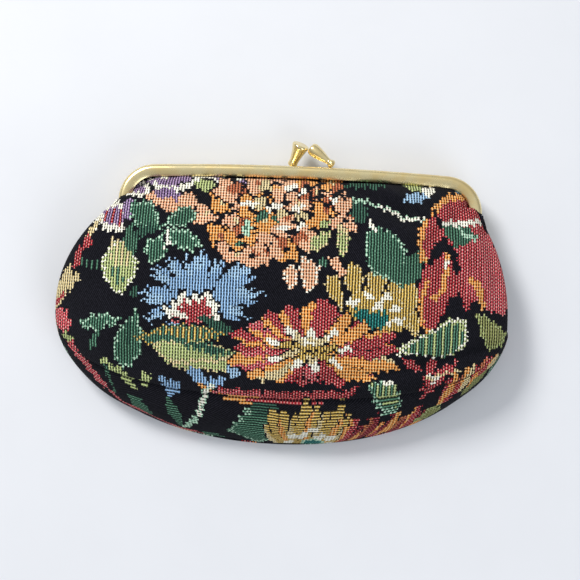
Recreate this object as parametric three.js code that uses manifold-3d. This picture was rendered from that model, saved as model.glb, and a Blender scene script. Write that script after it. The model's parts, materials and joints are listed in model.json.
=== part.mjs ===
// A small kiss-lock coin purse lying on its back: a tapestry bag with a gusset, lined, and held in
// a hinged brass channel frame with two crossing clasp arms. Millimetres. X runs along the frame's
// bar, Y from the foot of the bag towards the clasp, and Z up from the surface that it lies on.
// While the parts are made, Y = 0 is the hinge line and X = 0 is the middle of the frame.
import * as THREE from "three";
import { mergeVertices } from "three/addons/utils/BufferGeometryUtils.js";
import Module from "manifold-3d";

const wasm = await Module();
wasm.setup();

// Frame: two U-shaped channels, open towards the bag.
const CHANNEL_WIDTH = 3.5;
const CHANNEL_DEPTH = 4.3;
const CHANNEL_WALL = 0.6;
const CHANNEL_ROUND = 1.2;
const BACK_CHANNEL_Z = 2.4;
const PARTING_GAP = 0.4;
const FRONT_CHANNEL_Z = BACK_CHANNEL_Z + CHANNEL_DEPTH + PARTING_GAP;
const HINGE_Z = FRONT_CHANNEL_Z - PARTING_GAP / 2;
const BAR_TOP = 46;
const CROWN_RADIUS = 800;
const CROWN_HALF_ANGLE = THREE.MathUtils.degToRad(3);
const CORNER_RADIUS = 10.5;
const LEG_SPLAY = THREE.MathUtils.degToRad(3);
const LEG_END = 5;
const CORD_RADIUS = 0.9;
const CORD_INSET = 1.9;
const CORD_END = 9;

// Hinge: a tab on each leg's end, side by side, and a tubular rivet through both.
const TAB_RADIUS = 3.2;
const TAB_THICKNESS = 1;
const TAB_ROOT = 8;
const TAB_HOLE_RADIUS = 1.1;
const BACK_TAB_X = 52.3;
const FRONT_TAB_X = 50.8;
const RIVET_RADIUS = 0.8;
const RIVET_HEAD_RADIUS = 1.8;
const RIVET_HEAD = 0.6;

// Clasp: each arm is a turned trumpet on a small foot, leaning across the middle of the bar.
const JOINT_GAP = 0.3;
const LEFT_ARM_X = -2.9;
const RIGHT_ARM_X = 9.0;
const LEFT_ARM_LEAN = new THREE.Vector3(0.27, 0.9, 0.33);
const RIGHT_ARM_LEAN = new THREE.Vector3(-0.74, 0.65, -0.25);

// Bag: the outer silhouette is wider than the frame, and its middle is left of the frame's.
const BAG_MIDDLE = -4;
const BAG_HALF_WIDTH = 64;
const WIDEST_Y = 4;
const FRONT_SEAM_DROP = 23.5;
const FRONT_SEAM_POWER = 2.4;
const BACK_SEAM_DROP = 36.5;
const BACK_SEAM_POWER = 2.1;
const LEFT_SHOULDER = 45;
const RIGHT_SHOULDER = 58;
const SIDE_EDGE_Z = 12.8;
const FRONT_SEAM_Z = 18.5;
const BAR_EDGE_Z = 9.8;
const BAR_RISE = 2.2;
const SEAM_ROLL = 1.4;
const CROWN_Z = 24.5;
const CROWN_Y = 5;
const PANEL_TOP = 41.6;
const PANEL_FOOT = -19.3;
const CORNER_START = 36;
const LIP_CLEARANCE = 0.7;
const DOME_POWER = 2.6;
const DOME_SHARPNESS = 0.6;

// The gusset runs this many degrees each way round the bag from its foot, and each millimetre
// further inside, a layer ends this many degrees short of that.
const GUSSET_REACH = 84;
const GUSSET_TAPER = 5;

// The gusset leans out towards the back, so a layer inside it moves in further at its back edge.
// It bows outwards between its two seams, less so at the sides.
const GUSSET_LEAN = 0.6;
const GUSSET_BOW = 1.6;
const GUSSET_SIDE_BOW = 0.4;

// Layers of the wall, from the outside in: woven tapestry, interlining, lining.
const TAPESTRY = { offset: 0, thickness: 0.9 };
const INTERLINING = { offset: 1.2, thickness: 0.3 };
const LINING = { offset: 1.8, thickness: 0.3 };

// The front panel bends at the hinge line, so it is made as two solids that almost meet there.
const UPPER_PANEL_FOOT = -1.0;
const LOWER_PANEL_TOP = -1.6;

const brass = new THREE.MeshStandardMaterial({ color: 0xc9b070, metalness: 1, roughness: 0.25 });
const tapestry = new THREE.MeshStandardMaterial({ color: 0x2c2a30, roughness: 0.95 });
const lining = new THREE.MeshStandardMaterial({ color: 0x17171c, roughness: 0.6 });
const interlining = new THREE.MeshStandardMaterial({ color: 0xe6e3dc, roughness: 1 });
const paper = new THREE.MeshStandardMaterial({ color: 0xc8b48c, roughness: 1 });

const purse = new THREE.Group();

function add(name, geometry, material) {
  const mesh = new THREE.Mesh(geometry, material);
  mesh.name = name;
  purse.add(mesh);
  return mesh;
}

// A solid of the manifold library from a closed geometry, and back.
function toSolid(geometry) {
  const bare = geometry.clone();
  bare.deleteAttribute("normal");
  bare.deleteAttribute("uv");
  const merged = mergeVertices(bare, 1e-4);
  const vertProperties = new Float32Array(merged.attributes.position.array);
  const triVerts = new Uint32Array(merged.index.array);
  return new wasm.Manifold(new wasm.Mesh({ numProp: 3, vertProperties, triVerts }));
}

function toGeometry(solid) {
  const mesh = solid.getMesh();
  const geometry = new THREE.BufferGeometry();
  geometry.setAttribute("position", new THREE.BufferAttribute(mesh.vertProperties, 3));
  geometry.setIndex(new THREE.BufferAttribute(mesh.triVerts, 1));
  return geometry;
}

// A wall lofted through stations. Each station is a pair of open lines with as many points each,
// outer and inner, and the wall is what lies between them.
function loftWall(stations) {
  const across = stations[0].outer.length;
  const positions = [];
  const triangles = [];
  for (const { outer, inner } of stations) {
    for (const point of [...outer, ...inner]) positions.push(point.x, point.y, point.z);
  }
  const outerAt = (i, j) => i * 2 * across + j;
  const innerAt = (i, j) => outerAt(i, j) + across;
  const quad = (a, b, c, d) => triangles.push(a, b, c, a, c, d);
  const last = stations.length - 1;
  for (let i = 0; i < last; i++) {
    for (let j = 0; j < across - 1; j++) {
      quad(outerAt(i, j), outerAt(i + 1, j), outerAt(i + 1, j + 1), outerAt(i, j + 1));
      quad(innerAt(i, j), innerAt(i, j + 1), innerAt(i + 1, j + 1), innerAt(i + 1, j));
    }
    quad(outerAt(i, 0), innerAt(i, 0), innerAt(i + 1, 0), outerAt(i + 1, 0));
    const end = across - 1;
    quad(outerAt(i, end), outerAt(i + 1, end), innerAt(i + 1, end), innerAt(i, end));
  }
  for (let j = 0; j < across - 1; j++) {
    quad(outerAt(0, j), outerAt(0, j + 1), innerAt(0, j + 1), innerAt(0, j));
    quad(outerAt(last, j), innerAt(last, j), innerAt(last, j + 1), outerAt(last, j + 1));
  }
  if (signedVolume(positions, triangles) < 0) triangles.reverse();
  const geometry = new THREE.BufferGeometry();
  geometry.setAttribute("position", new THREE.Float32BufferAttribute(positions, 3));
  geometry.setIndex(triangles);
  return geometry;
}

function signedVolume(positions, triangles) {
  const corner = (k) => new THREE.Vector3().fromArray(positions, 3 * triangles[k]);
  let volume = 0;
  for (let k = 0; k < triangles.length; k += 3) {
    volume += corner(k).dot(corner(k + 1).cross(corner(k + 2))) / 6;
  }
  return volume;
}

// The frame's outer line, from the right leg's end over the bar to the left leg's end. Each
// station has the direction of its outward normal.
function frameStations(legEnd) {
  const crownCentre = BAR_TOP - CROWN_RADIUS;
  const corner = {
    x: (CROWN_RADIUS - CORNER_RADIUS) * Math.sin(CROWN_HALF_ANGLE),
    y: crownCentre + (CROWN_RADIUS - CORNER_RADIUS) * Math.cos(CROWN_HALF_ANGLE),
  };
  const right = [];
  const legTop = corner.y + CORNER_RADIUS * Math.sin(LEG_SPLAY);
  const legTopX = corner.x + CORNER_RADIUS * Math.cos(LEG_SPLAY);
  for (const share of [1, 0.5]) {
    const drop = (legTop - legEnd) * share;
    right.push({ x: legTopX + drop * Math.tan(LEG_SPLAY), y: legTop - drop, angle: LEG_SPLAY });
  }
  const cornerSteps = 6;
  const cornerEnd = Math.PI / 2 - CROWN_HALF_ANGLE;
  for (let i = 0; i <= cornerSteps; i++) {
    const angle = LEG_SPLAY + ((cornerEnd - LEG_SPLAY) * i) / cornerSteps;
    right.push({
      x: corner.x + CORNER_RADIUS * Math.cos(angle),
      y: corner.y + CORNER_RADIUS * Math.sin(angle),
      angle,
    });
  }
  const middle = [];
  const crownSteps = 6;
  for (let i = 1; i < crownSteps; i++) {
    const angle = cornerEnd + (2 * CROWN_HALF_ANGLE * i) / crownSteps;
    middle.push({
      x: CROWN_RADIUS * Math.cos(angle),
      y: crownCentre + CROWN_RADIUS * Math.sin(angle),
      angle,
    });
  }
  const left = right.map((s) => ({ x: -s.x, y: s.y, angle: Math.PI - s.angle })).reverse();
  return [...right, ...middle, ...left];
}

// A point at a depth inwards from the frame's outer line, at a height.
function inFrom(station, depth, z) {
  return new THREE.Vector3(
    station.x - depth * Math.cos(station.angle),
    station.y - depth * Math.sin(station.angle),
    z,
  );
}

// The channel's section as (depth, height) points: a U with rounded outer corners.
function channelLine(inset) {
  const round = CHANNEL_ROUND - inset / 2;
  const line = [[CHANNEL_WIDTH, inset]];
  const cornerSteps = 2;
  for (const side of [-1, 1]) {
    const centreZ = CHANNEL_DEPTH / 2 + side * (CHANNEL_DEPTH / 2 - inset - round);
    for (let i = 0; i <= cornerSteps; i++) {
      const turn = (Math.PI / 2) * (i / cornerSteps);
      const angle = side < 0 ? turn : Math.PI / 2 - turn;
      line.push([
        inset + round - round * Math.sin(angle),
        centreZ + side * round * Math.cos(angle),
      ]);
    }
  }
  line.push([CHANNEL_WIDTH, CHANNEL_DEPTH - inset]);
  return line;
}

// A hinge tab in the YZ plane. side is -1 for the back half, whose leg lies under the hinge line.
function hingeTab(side, x) {
  const outline = new THREE.Shape();
  const near = side * 0.3;
  const far = side * (CHANNEL_DEPTH - 0.1);
  outline.moveTo(TAB_ROOT, near);
  outline.lineTo(TAB_ROOT, far);
  outline.lineTo(0, side * TAB_RADIUS);
  outline.absarc(0, 0, TAB_RADIUS, (side * Math.PI) / 2, (-side * Math.PI) / 2, side < 0);
  outline.lineTo(LEG_END - 0.4, near);
  const hole = new THREE.Path();
  hole.absarc(0, 0, TAB_HOLE_RADIUS, 0, 2 * Math.PI, false);
  outline.holes.push(hole);
  const tab = new THREE.ExtrudeGeometry(outline, {
    depth: TAB_THICKNESS,
    bevelEnabled: false,
    curveSegments: 10,
  });
  // The drawing's axes (y, z, x) become the object's (x, y, z).
  tab.applyMatrix4(new THREE.Matrix4().set(0, 0, 1, x, 1, 0, 0, 0, 0, 1, 0, HINGE_Z, 0, 0, 0, 1));
  return tab;
}

function frameHalf(baseZ, side, tabX) {
  const outer = channelLine(0);
  const inner = channelLine(CHANNEL_WALL);
  const stations = frameStations(LEG_END).map((station) => ({
    outer: outer.map(([depth, z]) => inFrom(station, depth, baseZ + z)),
    inner: inner.map(([depth, z]) => inFrom(station, depth, baseZ + z)),
  }));
  const rightTab = toSolid(hingeTab(side, tabX));
  const leftTab = toSolid(hingeTab(side, -tabX - TAB_THICKNESS));
  return toGeometry(toSolid(loftWall(stations)).add(rightTab).add(leftTab));
}

// The twisted paper that wedges the cloth in a channel.
function paperCord(baseZ) {
  const points = frameStations(CORD_END).map((station) =>
    inFrom(station, CORD_INSET, baseZ + CHANNEL_DEPTH / 2),
  );
  const section = new THREE.Shape();
  section.absarc(0, 0, CORD_RADIUS, 0, 2 * Math.PI, false);
  return new THREE.ExtrudeGeometry(section, {
    steps: 36,
    curveSegments: 3,
    bevelEnabled: false,
    extrudePath: new THREE.CatmullRomCurve3(points),
  });
}

function rivet(side) {
  const innerHead = FRONT_TAB_X - JOINT_GAP - RIVET_HEAD;
  const outerHead = BACK_TAB_X + TAB_THICKNESS + JOINT_GAP;
  const profile = [
    [0, innerHead],
    [RIVET_HEAD_RADIUS, innerHead],
    [RIVET_HEAD_RADIUS, innerHead + RIVET_HEAD],
    [RIVET_RADIUS, innerHead + RIVET_HEAD],
    [RIVET_RADIUS, outerHead],
    [RIVET_HEAD_RADIUS, outerHead],
    [RIVET_HEAD_RADIUS * 0.7, outerHead + RIVET_HEAD],
    [0, outerHead + RIVET_HEAD],
  ];
  const geometry = new THREE.LatheGeometry(
    profile.map(([radius, along]) => new THREE.Vector2(radius, along)),
    12,
  );
  geometry.rotateZ((-side * Math.PI) / 2);
  geometry.translate(0, 0, HINGE_Z);
  return geometry;
}

// A turned clasp arm: its profile is (radius, distance along the arm) from its foot.
function claspArm(profile, foot, lean) {
  const geometry = new THREE.LatheGeometry(
    profile.map(([radius, along]) => new THREE.Vector2(radius, along)),
    14,
  );
  const turn = new THREE.Quaternion();
  turn.setFromUnitVectors(new THREE.Vector3(0, 1, 0), lean.clone().normalize());
  geometry.applyQuaternion(turn);
  geometry.computeBoundingBox();
  geometry.translate(foot.x, foot.y - geometry.boundingBox.min.y, foot.z);
  return geometry;
}

const power = (value, exponent) => Math.pow(Math.max(value, 0), exponent);

// Where the channel's inner lip is at a height up the frame.
function lipAt(y) {
  const corner = (CROWN_RADIUS - CORNER_RADIUS) * Math.sin(CROWN_HALF_ANGLE);
  const cornerY = BAR_TOP - CROWN_RADIUS + (CROWN_RADIUS - CORNER_RADIUS) * Math.cos(CROWN_HALF_ANGLE);
  const lipRadius = CORNER_RADIUS - CHANNEL_WIDTH;
  const rise = Math.min(Math.max(y - cornerY, 0), lipRadius);
  return corner + Math.sqrt(lipRadius * lipRadius - rise * rise);
}

// Half-widths of the front panel's edge, left (side -1) and right (side 1) of the bag's middle.
function frontEdge(y, side) {
  if (y <= WIDEST_Y) {
    const down = power((WIDEST_Y - y) / FRONT_SEAM_DROP, FRONT_SEAM_POWER);
    return BAG_HALF_WIDTH * power(1 - down, 1 / FRONT_SEAM_POWER);
  }
  const shoulder = side < 0 ? LEFT_SHOULDER : RIGHT_SHOULDER;
  const bulge = BAG_HALF_WIDTH * Math.sqrt(1 - ((y - WIDEST_Y) / shoulder) ** 2);
  if (y < CORNER_START) return bulge;
  return Math.min(bulge, lipAt(y) - LIP_CLEARANCE - side * BAG_MIDDLE);
}

function edgeHeight(y) {
  if (y <= WIDEST_Y) {
    return SIDE_EDGE_Z + ((FRONT_SEAM_Z - SIDE_EDGE_Z) * (WIDEST_Y - y)) / FRONT_SEAM_DROP;
  }
  const nearBar = power((y - CORNER_START) / (PANEL_TOP - CORNER_START), 2);
  return SIDE_EDGE_Z + (BAR_EDGE_Z - SIDE_EDGE_Z) * nearBar;
}

function crownHeight(y) {
  if (y >= CROWN_Y) {
    const away = power((PANEL_TOP - y) / (PANEL_TOP - CROWN_Y), 0.6);
    const start = BAR_EDGE_Z + BAR_RISE;
    return start + (CROWN_Z - start) * Math.sin((Math.PI / 2) * away);
  }
  const down = power((CROWN_Y - y) / (CROWN_Y - PANEL_FOOT), 2.5);
  return CROWN_Z - (CROWN_Z - FRONT_SEAM_Z - SEAM_ROLL) * down;
}

// One line across the front wall at a height up the bag, an offset inside the outer face.
function frontLine(y, offset, across) {
  const line = [];
  for (let j = 0; j <= across; j++) {
    const turn = Math.PI * (j / across - 0.5);
    const share = Math.sin(turn);
    const half = frontEdge(y, Math.sign(share)) - offset;
    const rise = power(1 - power(Math.abs(share), DOME_POWER), DOME_SHARPNESS);
    const base = edgeHeight(y);
    const height = base + (crownHeight(y) - offset - base) * rise;
    line.push(new THREE.Vector3(BAG_MIDDLE + half * share, y, height));
  }
  return line;
}

function frontWall(layer, heights) {
  const across = 14;
  return loftWall(
    heights.map((y) => ({
      outer: frontLine(y, layer.offset, across),
      inner: frontLine(y, layer.offset + layer.thickness, across),
    })),
  );
}

// The gusset's front and back edges at a turn round the bag: 0 at the foot, +-90 degrees at the
// hinges.
function seamPoint(turn, offset, drop, exponent) {
  const across = Math.sign(turn) * power(Math.abs(Math.sin(turn)), 2 / exponent);
  const down = power(Math.cos(turn), 2 / exponent);
  return {
    x: BAG_MIDDLE + (BAG_HALF_WIDTH - offset) * across,
    y: WIDEST_Y - (drop - offset) * down,
  };
}

function gussetStation(turn, layer) {
  const backZ = TAPESTRY.thickness + JOINT_GAP + layer.offset;
  const line = (offset) => {
    const front = seamPoint(turn, offset, FRONT_SEAM_DROP, FRONT_SEAM_POWER);
    const backInset = offset + GUSSET_LEAN * layer.offset;
    const back = seamPoint(turn, backInset, BACK_SEAM_DROP, BACK_SEAM_POWER);
    const frontZ = edgeHeight(front.y) - JOINT_GAP - layer.offset;
    return [0, 0.3, 0.65, 1].map((share) => {
      const bow = GUSSET_BOW * Math.sin(Math.PI * share);
      return new THREE.Vector3(
        THREE.MathUtils.lerp(front.x, back.x, share) + bow * Math.sin(turn) * GUSSET_SIDE_BOW,
        THREE.MathUtils.lerp(front.y, back.y, share) - bow * Math.cos(turn),
        THREE.MathUtils.lerp(frontZ, backZ, share),
      );
    });
  };
  return { outer: line(layer.offset), inner: line(layer.offset + layer.thickness) };
}

function gussetWall(layer) {
  const stations = [];
  const steps = 30;
  const reach = THREE.MathUtils.degToRad(GUSSET_REACH - GUSSET_TAPER * layer.offset);
  for (let i = 0; i <= steps; i++) {
    stations.push(gussetStation(reach * ((2 * i) / steps - 1), layer));
  }
  return loftWall(stations);
}

// The back wall lies flat: its outline is the back seam below the hinge line, and the bag's
// shoulders above it.
function backWall(layer) {
  const outline = new THREE.Shape();
  const inset = layer.offset;
  const seamSteps = 24;
  for (let i = 0; i <= seamSteps; i++) {
    const turn = Math.PI * (i / seamSteps - 0.5);
    const point = seamPoint(turn, inset, BACK_SEAM_DROP, BACK_SEAM_POWER);
    if (i === 0) outline.moveTo(point.x, point.y);
    else outline.lineTo(point.x, point.y);
  }
  const shoulder = [12, 21, 29, CORNER_START, 39, PANEL_TOP];
  for (const y of shoulder) {
    outline.lineTo(BAG_MIDDLE + frontEdge(y, 1) - inset, y - inset);
  }
  for (const y of shoulder.reverse()) {
    outline.lineTo(BAG_MIDDLE - frontEdge(y, -1) + inset, y - inset);
  }
  const wall = new THREE.ExtrudeGeometry(outline, { depth: layer.thickness, bevelEnabled: false });
  wall.translate(0, 0, layer.offset);
  return wall;
}

add("back_frame", frameHalf(BACK_CHANNEL_Z, -1, BACK_TAB_X), brass);
add("front_frame", frameHalf(FRONT_CHANNEL_Z, 1, FRONT_TAB_X), brass);
add("hinge_rivet_left", rivet(-1), brass);
add("hinge_rivet_right", rivet(1), brass);
add("back_paper_cord", paperCord(BACK_CHANNEL_Z), paper);
add("front_paper_cord", paperCord(FRONT_CHANNEL_Z), paper);

const footY = BAR_TOP + JOINT_GAP;
const leftProfile = [
  [0, 0],
  [0.9, 0.1],
  [1.3, 0.7],
  [1.15, 1.4],
  [1.45, 3.2],
  [1.8, 5.1],
  [1.95, 6.3],
  [1.75, 7.1],
  [1.1, 7.7],
  [0, 8],
];
const rightProfile = [
  [0, 0],
  [0.65, 0.2],
  [0.95, 0.9],
  [0.65, 1.6],
  [0.95, 3],
  [1.4, 5],
  [1.6, 6.4],
  [1.0, 7.3],
  [1.35, 8.1],
  [1.35, 8.9],
  [0.8, 9.7],
  [0, 9.9],
];
const leftFoot = new THREE.Vector3(LEFT_ARM_X, footY, BACK_CHANNEL_Z + CHANNEL_DEPTH / 2);
const rightFoot = new THREE.Vector3(RIGHT_ARM_X, footY, FRONT_CHANNEL_Z + CHANNEL_DEPTH / 2);
add("clasp_arm_left", claspArm(leftProfile, leftFoot, LEFT_ARM_LEAN), brass);
add("clasp_arm_right", claspArm(rightProfile, rightFoot, RIGHT_ARM_LEAN), brass);

// Heights up the bag where the front walls have their stations. The inner layers stop one station
// short of the outer one at the bar and at the foot.
const aboveHinge = [PANEL_TOP, 39.6, 37.8, CORNER_START, 32, 27, 21, 14, 7, UPPER_PANEL_FOOT];
const belowHinge = [LOWER_PANEL_TOP, -6, -10, -14, -17.5, PANEL_FOOT];
const insideBoth = [...aboveHinge.slice(1), ...belowHinge.slice(1, -1)];
add("front_panel_upper", frontWall(TAPESTRY, aboveHinge), tapestry);
add("front_panel_lower", frontWall(TAPESTRY, belowHinge), tapestry);
add("front_interlining", frontWall(INTERLINING, insideBoth), interlining);
add("front_lining", frontWall(LINING, insideBoth), lining);
add("back_panel", backWall(TAPESTRY), tapestry);
add("back_interlining", backWall(INTERLINING), interlining);
add("back_lining", backWall(LINING), lining);
add("gusset", gussetWall(TAPESTRY), tapestry);
add("gusset_lining", gussetWall(LINING), lining);

// The origin is the middle of the base.
const box = new THREE.Box3().setFromObject(purse);
const middle = box.getCenter(new THREE.Vector3());
purse.position.set(-middle.x, -middle.y, -box.min.z);

export default purse;
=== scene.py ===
# A kiss-lock coin purse: a tapestry bag with a gusset, lined, in a hinged brass channel frame.
# Shapes are made in millimetres, with X = 0 at the frame's middle and Y = 0 on the hinge line,
# and are set into the row frame when a mesh is made.
import json
import math

import bmesh
import bpy
import numpy as np
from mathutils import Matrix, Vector


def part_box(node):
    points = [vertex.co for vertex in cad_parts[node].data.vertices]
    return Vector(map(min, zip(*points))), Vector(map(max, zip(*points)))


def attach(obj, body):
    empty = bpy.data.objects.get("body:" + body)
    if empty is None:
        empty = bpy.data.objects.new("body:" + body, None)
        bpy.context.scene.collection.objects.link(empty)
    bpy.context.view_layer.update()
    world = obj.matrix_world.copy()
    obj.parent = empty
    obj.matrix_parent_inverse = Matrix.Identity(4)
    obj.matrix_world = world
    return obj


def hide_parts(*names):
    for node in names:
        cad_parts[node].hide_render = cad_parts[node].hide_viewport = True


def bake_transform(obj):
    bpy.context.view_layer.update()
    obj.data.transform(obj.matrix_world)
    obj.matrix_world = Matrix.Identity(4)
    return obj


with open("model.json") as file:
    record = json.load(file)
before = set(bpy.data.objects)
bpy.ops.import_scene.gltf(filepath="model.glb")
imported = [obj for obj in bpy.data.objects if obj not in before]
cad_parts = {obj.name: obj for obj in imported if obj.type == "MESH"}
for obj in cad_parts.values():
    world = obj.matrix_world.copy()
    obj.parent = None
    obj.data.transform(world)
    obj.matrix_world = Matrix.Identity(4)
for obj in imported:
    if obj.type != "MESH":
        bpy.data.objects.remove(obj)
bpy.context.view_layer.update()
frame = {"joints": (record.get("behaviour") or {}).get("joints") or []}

# Where the millimetre model lies in the row frame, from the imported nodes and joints.
hinge = next(joint for joint in frame["joints"] if joint["name"] == "frame_hinge")
frame_low, frame_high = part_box("back_frame")
FRAME_MIDDLE = (frame_low.x + frame_high.x) / 2
HINGE_LINE = hinge["pos_m"][1]
SHIFT = np.array([FRAME_MIDDLE, HINGE_LINE, 0.0])
MM = 0.001

# Frame: its channel, its outline and its hinge tabs.
CHANNEL_WIDTH = 3.5
CHANNEL_WALL = 0.6
CHANNEL_ROUND = 1.35
CHANNEL_DEPTH = 4.3
FACE_SLOPE = 0.6
FACE_BEND = 2.2
SLOT_DEPTH = 2.2
BACK_CHANNEL_Z = frame_low.z / MM
HINGE_Z = hinge["pos_m"][2] / MM
FRONT_CHANNEL_Z = 2 * HINGE_Z - BACK_CHANNEL_Z - CHANNEL_DEPTH
BAR_TOP = (frame_high.y - HINGE_LINE) / MM
CROWN_RADIUS = 800.0
CROWN_HALF_ANGLE = math.radians(3)
CORNER_RADIUS = 10.5
CORNER_X = (CROWN_RADIUS - CORNER_RADIUS) * math.sin(CROWN_HALF_ANGLE)
CORNER_Y = BAR_TOP - CROWN_RADIUS + (CROWN_RADIUS - CORNER_RADIUS) * math.cos(CROWN_HALF_ANGLE)
LEG_SPLAY = math.radians(3)
LEG_END = 5.0
BACK_TAB_X = 52.3
FRONT_TAB_X = 50.8
TAB_THICKNESS = 1.0
TAB_RADIUS = 3.2
TAB_ROOT = 8.0
TAB_BEVEL = 0.12
BEVEL_ANGLE = math.radians(40)
SHARP_ANGLE = math.radians(38)

# Paper cord in the channel.
CORD_DEPTH = 1.9
CORD_END = 9.0
CORD_RADIUS = 0.62
STRAND_BULGE = 0.16
CORD_LAY = 7.0

# Bag.
BAG_MIDDLE = -4.0
BAG_HALF_WIDTH = 64.0
BAG_CENTRE_Y = 8.0
WIDEST_Y = 4.0
FRONT_SEAM_DROP = 23.5
FRONT_SEAM_POWER = 2.4
BACK_SEAM_DROP = 38.4
BACK_SEAM_POWER = 2.1
LEFT_SHOULDER = 45.0
RIGHT_SHOULDER = 58.0
SIDE_EDGE_Z = 12.8
FRONT_SEAM_Z = 18.5
BAR_EDGE_Z = 9.8
BAR_RISE = 2.2
CROWN_Z = 24.5
CROWN_Y = 5.0
PANEL_TOP = 41.6
CORNER_START = 36.0
LIP_CLEARANCE = 0.7
DOME_HEIGHT = CROWN_Z - SIDE_EDGE_Z
DOME_POWER = 2.6
DOME_SHARPNESS = 0.6
GUSSET_BOW = 2.8
GUSSET_REACH = math.radians(84)
GUSSET_END_X = 53.6
GUSSET_SPAN = 18.0
GUSSET_CLOTH = 20.0
SEAM_TUCK = 0.7
SEAM_TUCK_WIDTH = 0.8
BACK_TURN_SHARE = 0.98
BACK_FLAT_SHARE = 0.965
FRONT_LINING_INSET = 1.2

# Weave: the thread columns, half a pick, the ticks across the floats, and the ground's twill.
COLUMN_PITCH = 0.8
ROW_PITCH = 0.31
TICK_PITCH = 0.92
GROUND_TWILL = 0.62
TWILL_RISE = 0.95
LINING_PITCH = 0.42

# Ragged outlines of the motifs: how far ends of columns, their slow waves and blocks of threads
# go astray, and how blunt petals and leaves are.
END_RAGGED = 0.45
WAVE_RAGGED = 0.9
WAVE_COLUMNS = 3.3
SIDE_RAGGED = 0.35
PETAL_BLUNTNESS = 0.7
LEAF_BLUNTNESS = 1.05

# How many points a curve is measured with, and points closer together than this are welded.
SAMPLES = 2001
FINE_SAMPLES = 4001
CLOTH_WELD = 0.02
METAL_WELD = 0.01

# Colours, and how much of a float's colour is left, in painted shade, in the gap beside it.
# The gap between thread columns is the black ground, painted darker still as shade in the recess, with a
# trace of the float's colour in painted shade.
FLOAT_TRACE_IN_SHADED_GAP = 0.06
GAP_GROUND_AND_SHADE = (0.004, 0.004, 0.006)
# The black ground's twill ribs are painted lighter where they rise: a painted highlight.
GROUND_DARK = (0.003, 0.003, 0.005)
GROUND_RIB_HIGHLIGHT = (0.017, 0.017, 0.024)
# The lining is painted lighter where its threads rise, a painted highlight on the raised crossings, and
# unevenly at random.
LINING_DARK = (0.010, 0.010, 0.014)
LINING_HIGHLIGHT_AND_TONE = (0.040, 0.040, 0.052)
BRASS_LIGHT = (0.90, 0.765, 0.43)
BRASS_DEEP = (0.80, 0.62, 0.29)
BRASS_TARNISH = (0.36, 0.24, 0.09)
PAPER_DARK = (0.36, 0.27, 0.15)
PAPER_LIGHT = (0.62, 0.50, 0.32)
FLOOR_LIGHT = (0.70, 0.715, 0.75)
FLOOR_DARK = tuple(0.94 * channel for channel in FLOOR_LIGHT)

# ---------------------------------------------------------------- yarns and motifs

# Yarn: colour of the thread columns, colour of the picks that cross them, how far the picks
# bridge the dark gaps between the columns, and the columns' width as a share of their pitch.
YARNS = {
    "ground": ((0.006, 0.006, 0.01), (0.013, 0.013, 0.019), 0.0, 0.0),
    "red": ((0.47, 0.013, 0.027), (1.0, 0.42, 0.38), 0.3, 0.48),
    "deep_red": ((0.258, 0.009, 0.018), (0.66, 0.17, 0.18), 0.2, 0.45),
    "rose": ((0.694, 0.056, 0.084), (1.0, 0.56, 0.5), 0.5, 0.5),
    "brick": ((0.56, 0.134, 0.056), (0.8, 0.37, 0.2), 0.4, 0.48),
    "orange": ((1.0, 0.36, 0.067), (1.0, 0.74, 0.36), 0.6, 0.54),
    "salmon": ((1.0, 0.45, 0.23), (1.0, 0.84, 0.63), 0.65, 0.56),
    "gold": ((0.941, 0.605, 0.123), (1.0, 0.82, 0.38), 0.12, 0.41),
    "straw": ((0.963, 0.762, 0.37), (1.0, 0.9, 0.62), 0.45, 0.47),
    "cream": ((1.0, 0.963, 0.784), (1.0, 1.0, 0.93), 0.85, 0.63),
    "green": ((0.084, 0.224, 0.14), (0.2, 0.43, 0.29), 0.12, 0.4),
    "dark_green": ((0.054, 0.146, 0.099), (0.095, 0.23, 0.155), 0.1, 0.4),
    "mint": ((0.426, 0.717, 0.504), (0.74, 0.95, 0.76), 0.6, 0.56),
    "lime": ((0.515, 0.627, 0.224), (0.78, 0.83, 0.47), 0.45, 0.45),
    "olive": ((0.347, 0.381, 0.123), (0.6, 0.6, 0.28), 0.3, 0.43),
    "blue": ((0.358, 0.627, 1.0), (0.52, 0.76, 1.0), 0.25, 0.41),
    "pale_blue": ((0.426, 0.694, 1.0), (0.64, 0.86, 1.0), 0.5, 0.42),
    "lilac": ((0.314, 0.19, 0.414), (0.72, 0.58, 0.74), 0.3, 0.47),
    "teal": ((0.017, 0.202, 0.179), (0.1, 0.46, 0.4), 0.15, 0.45),
}


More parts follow.
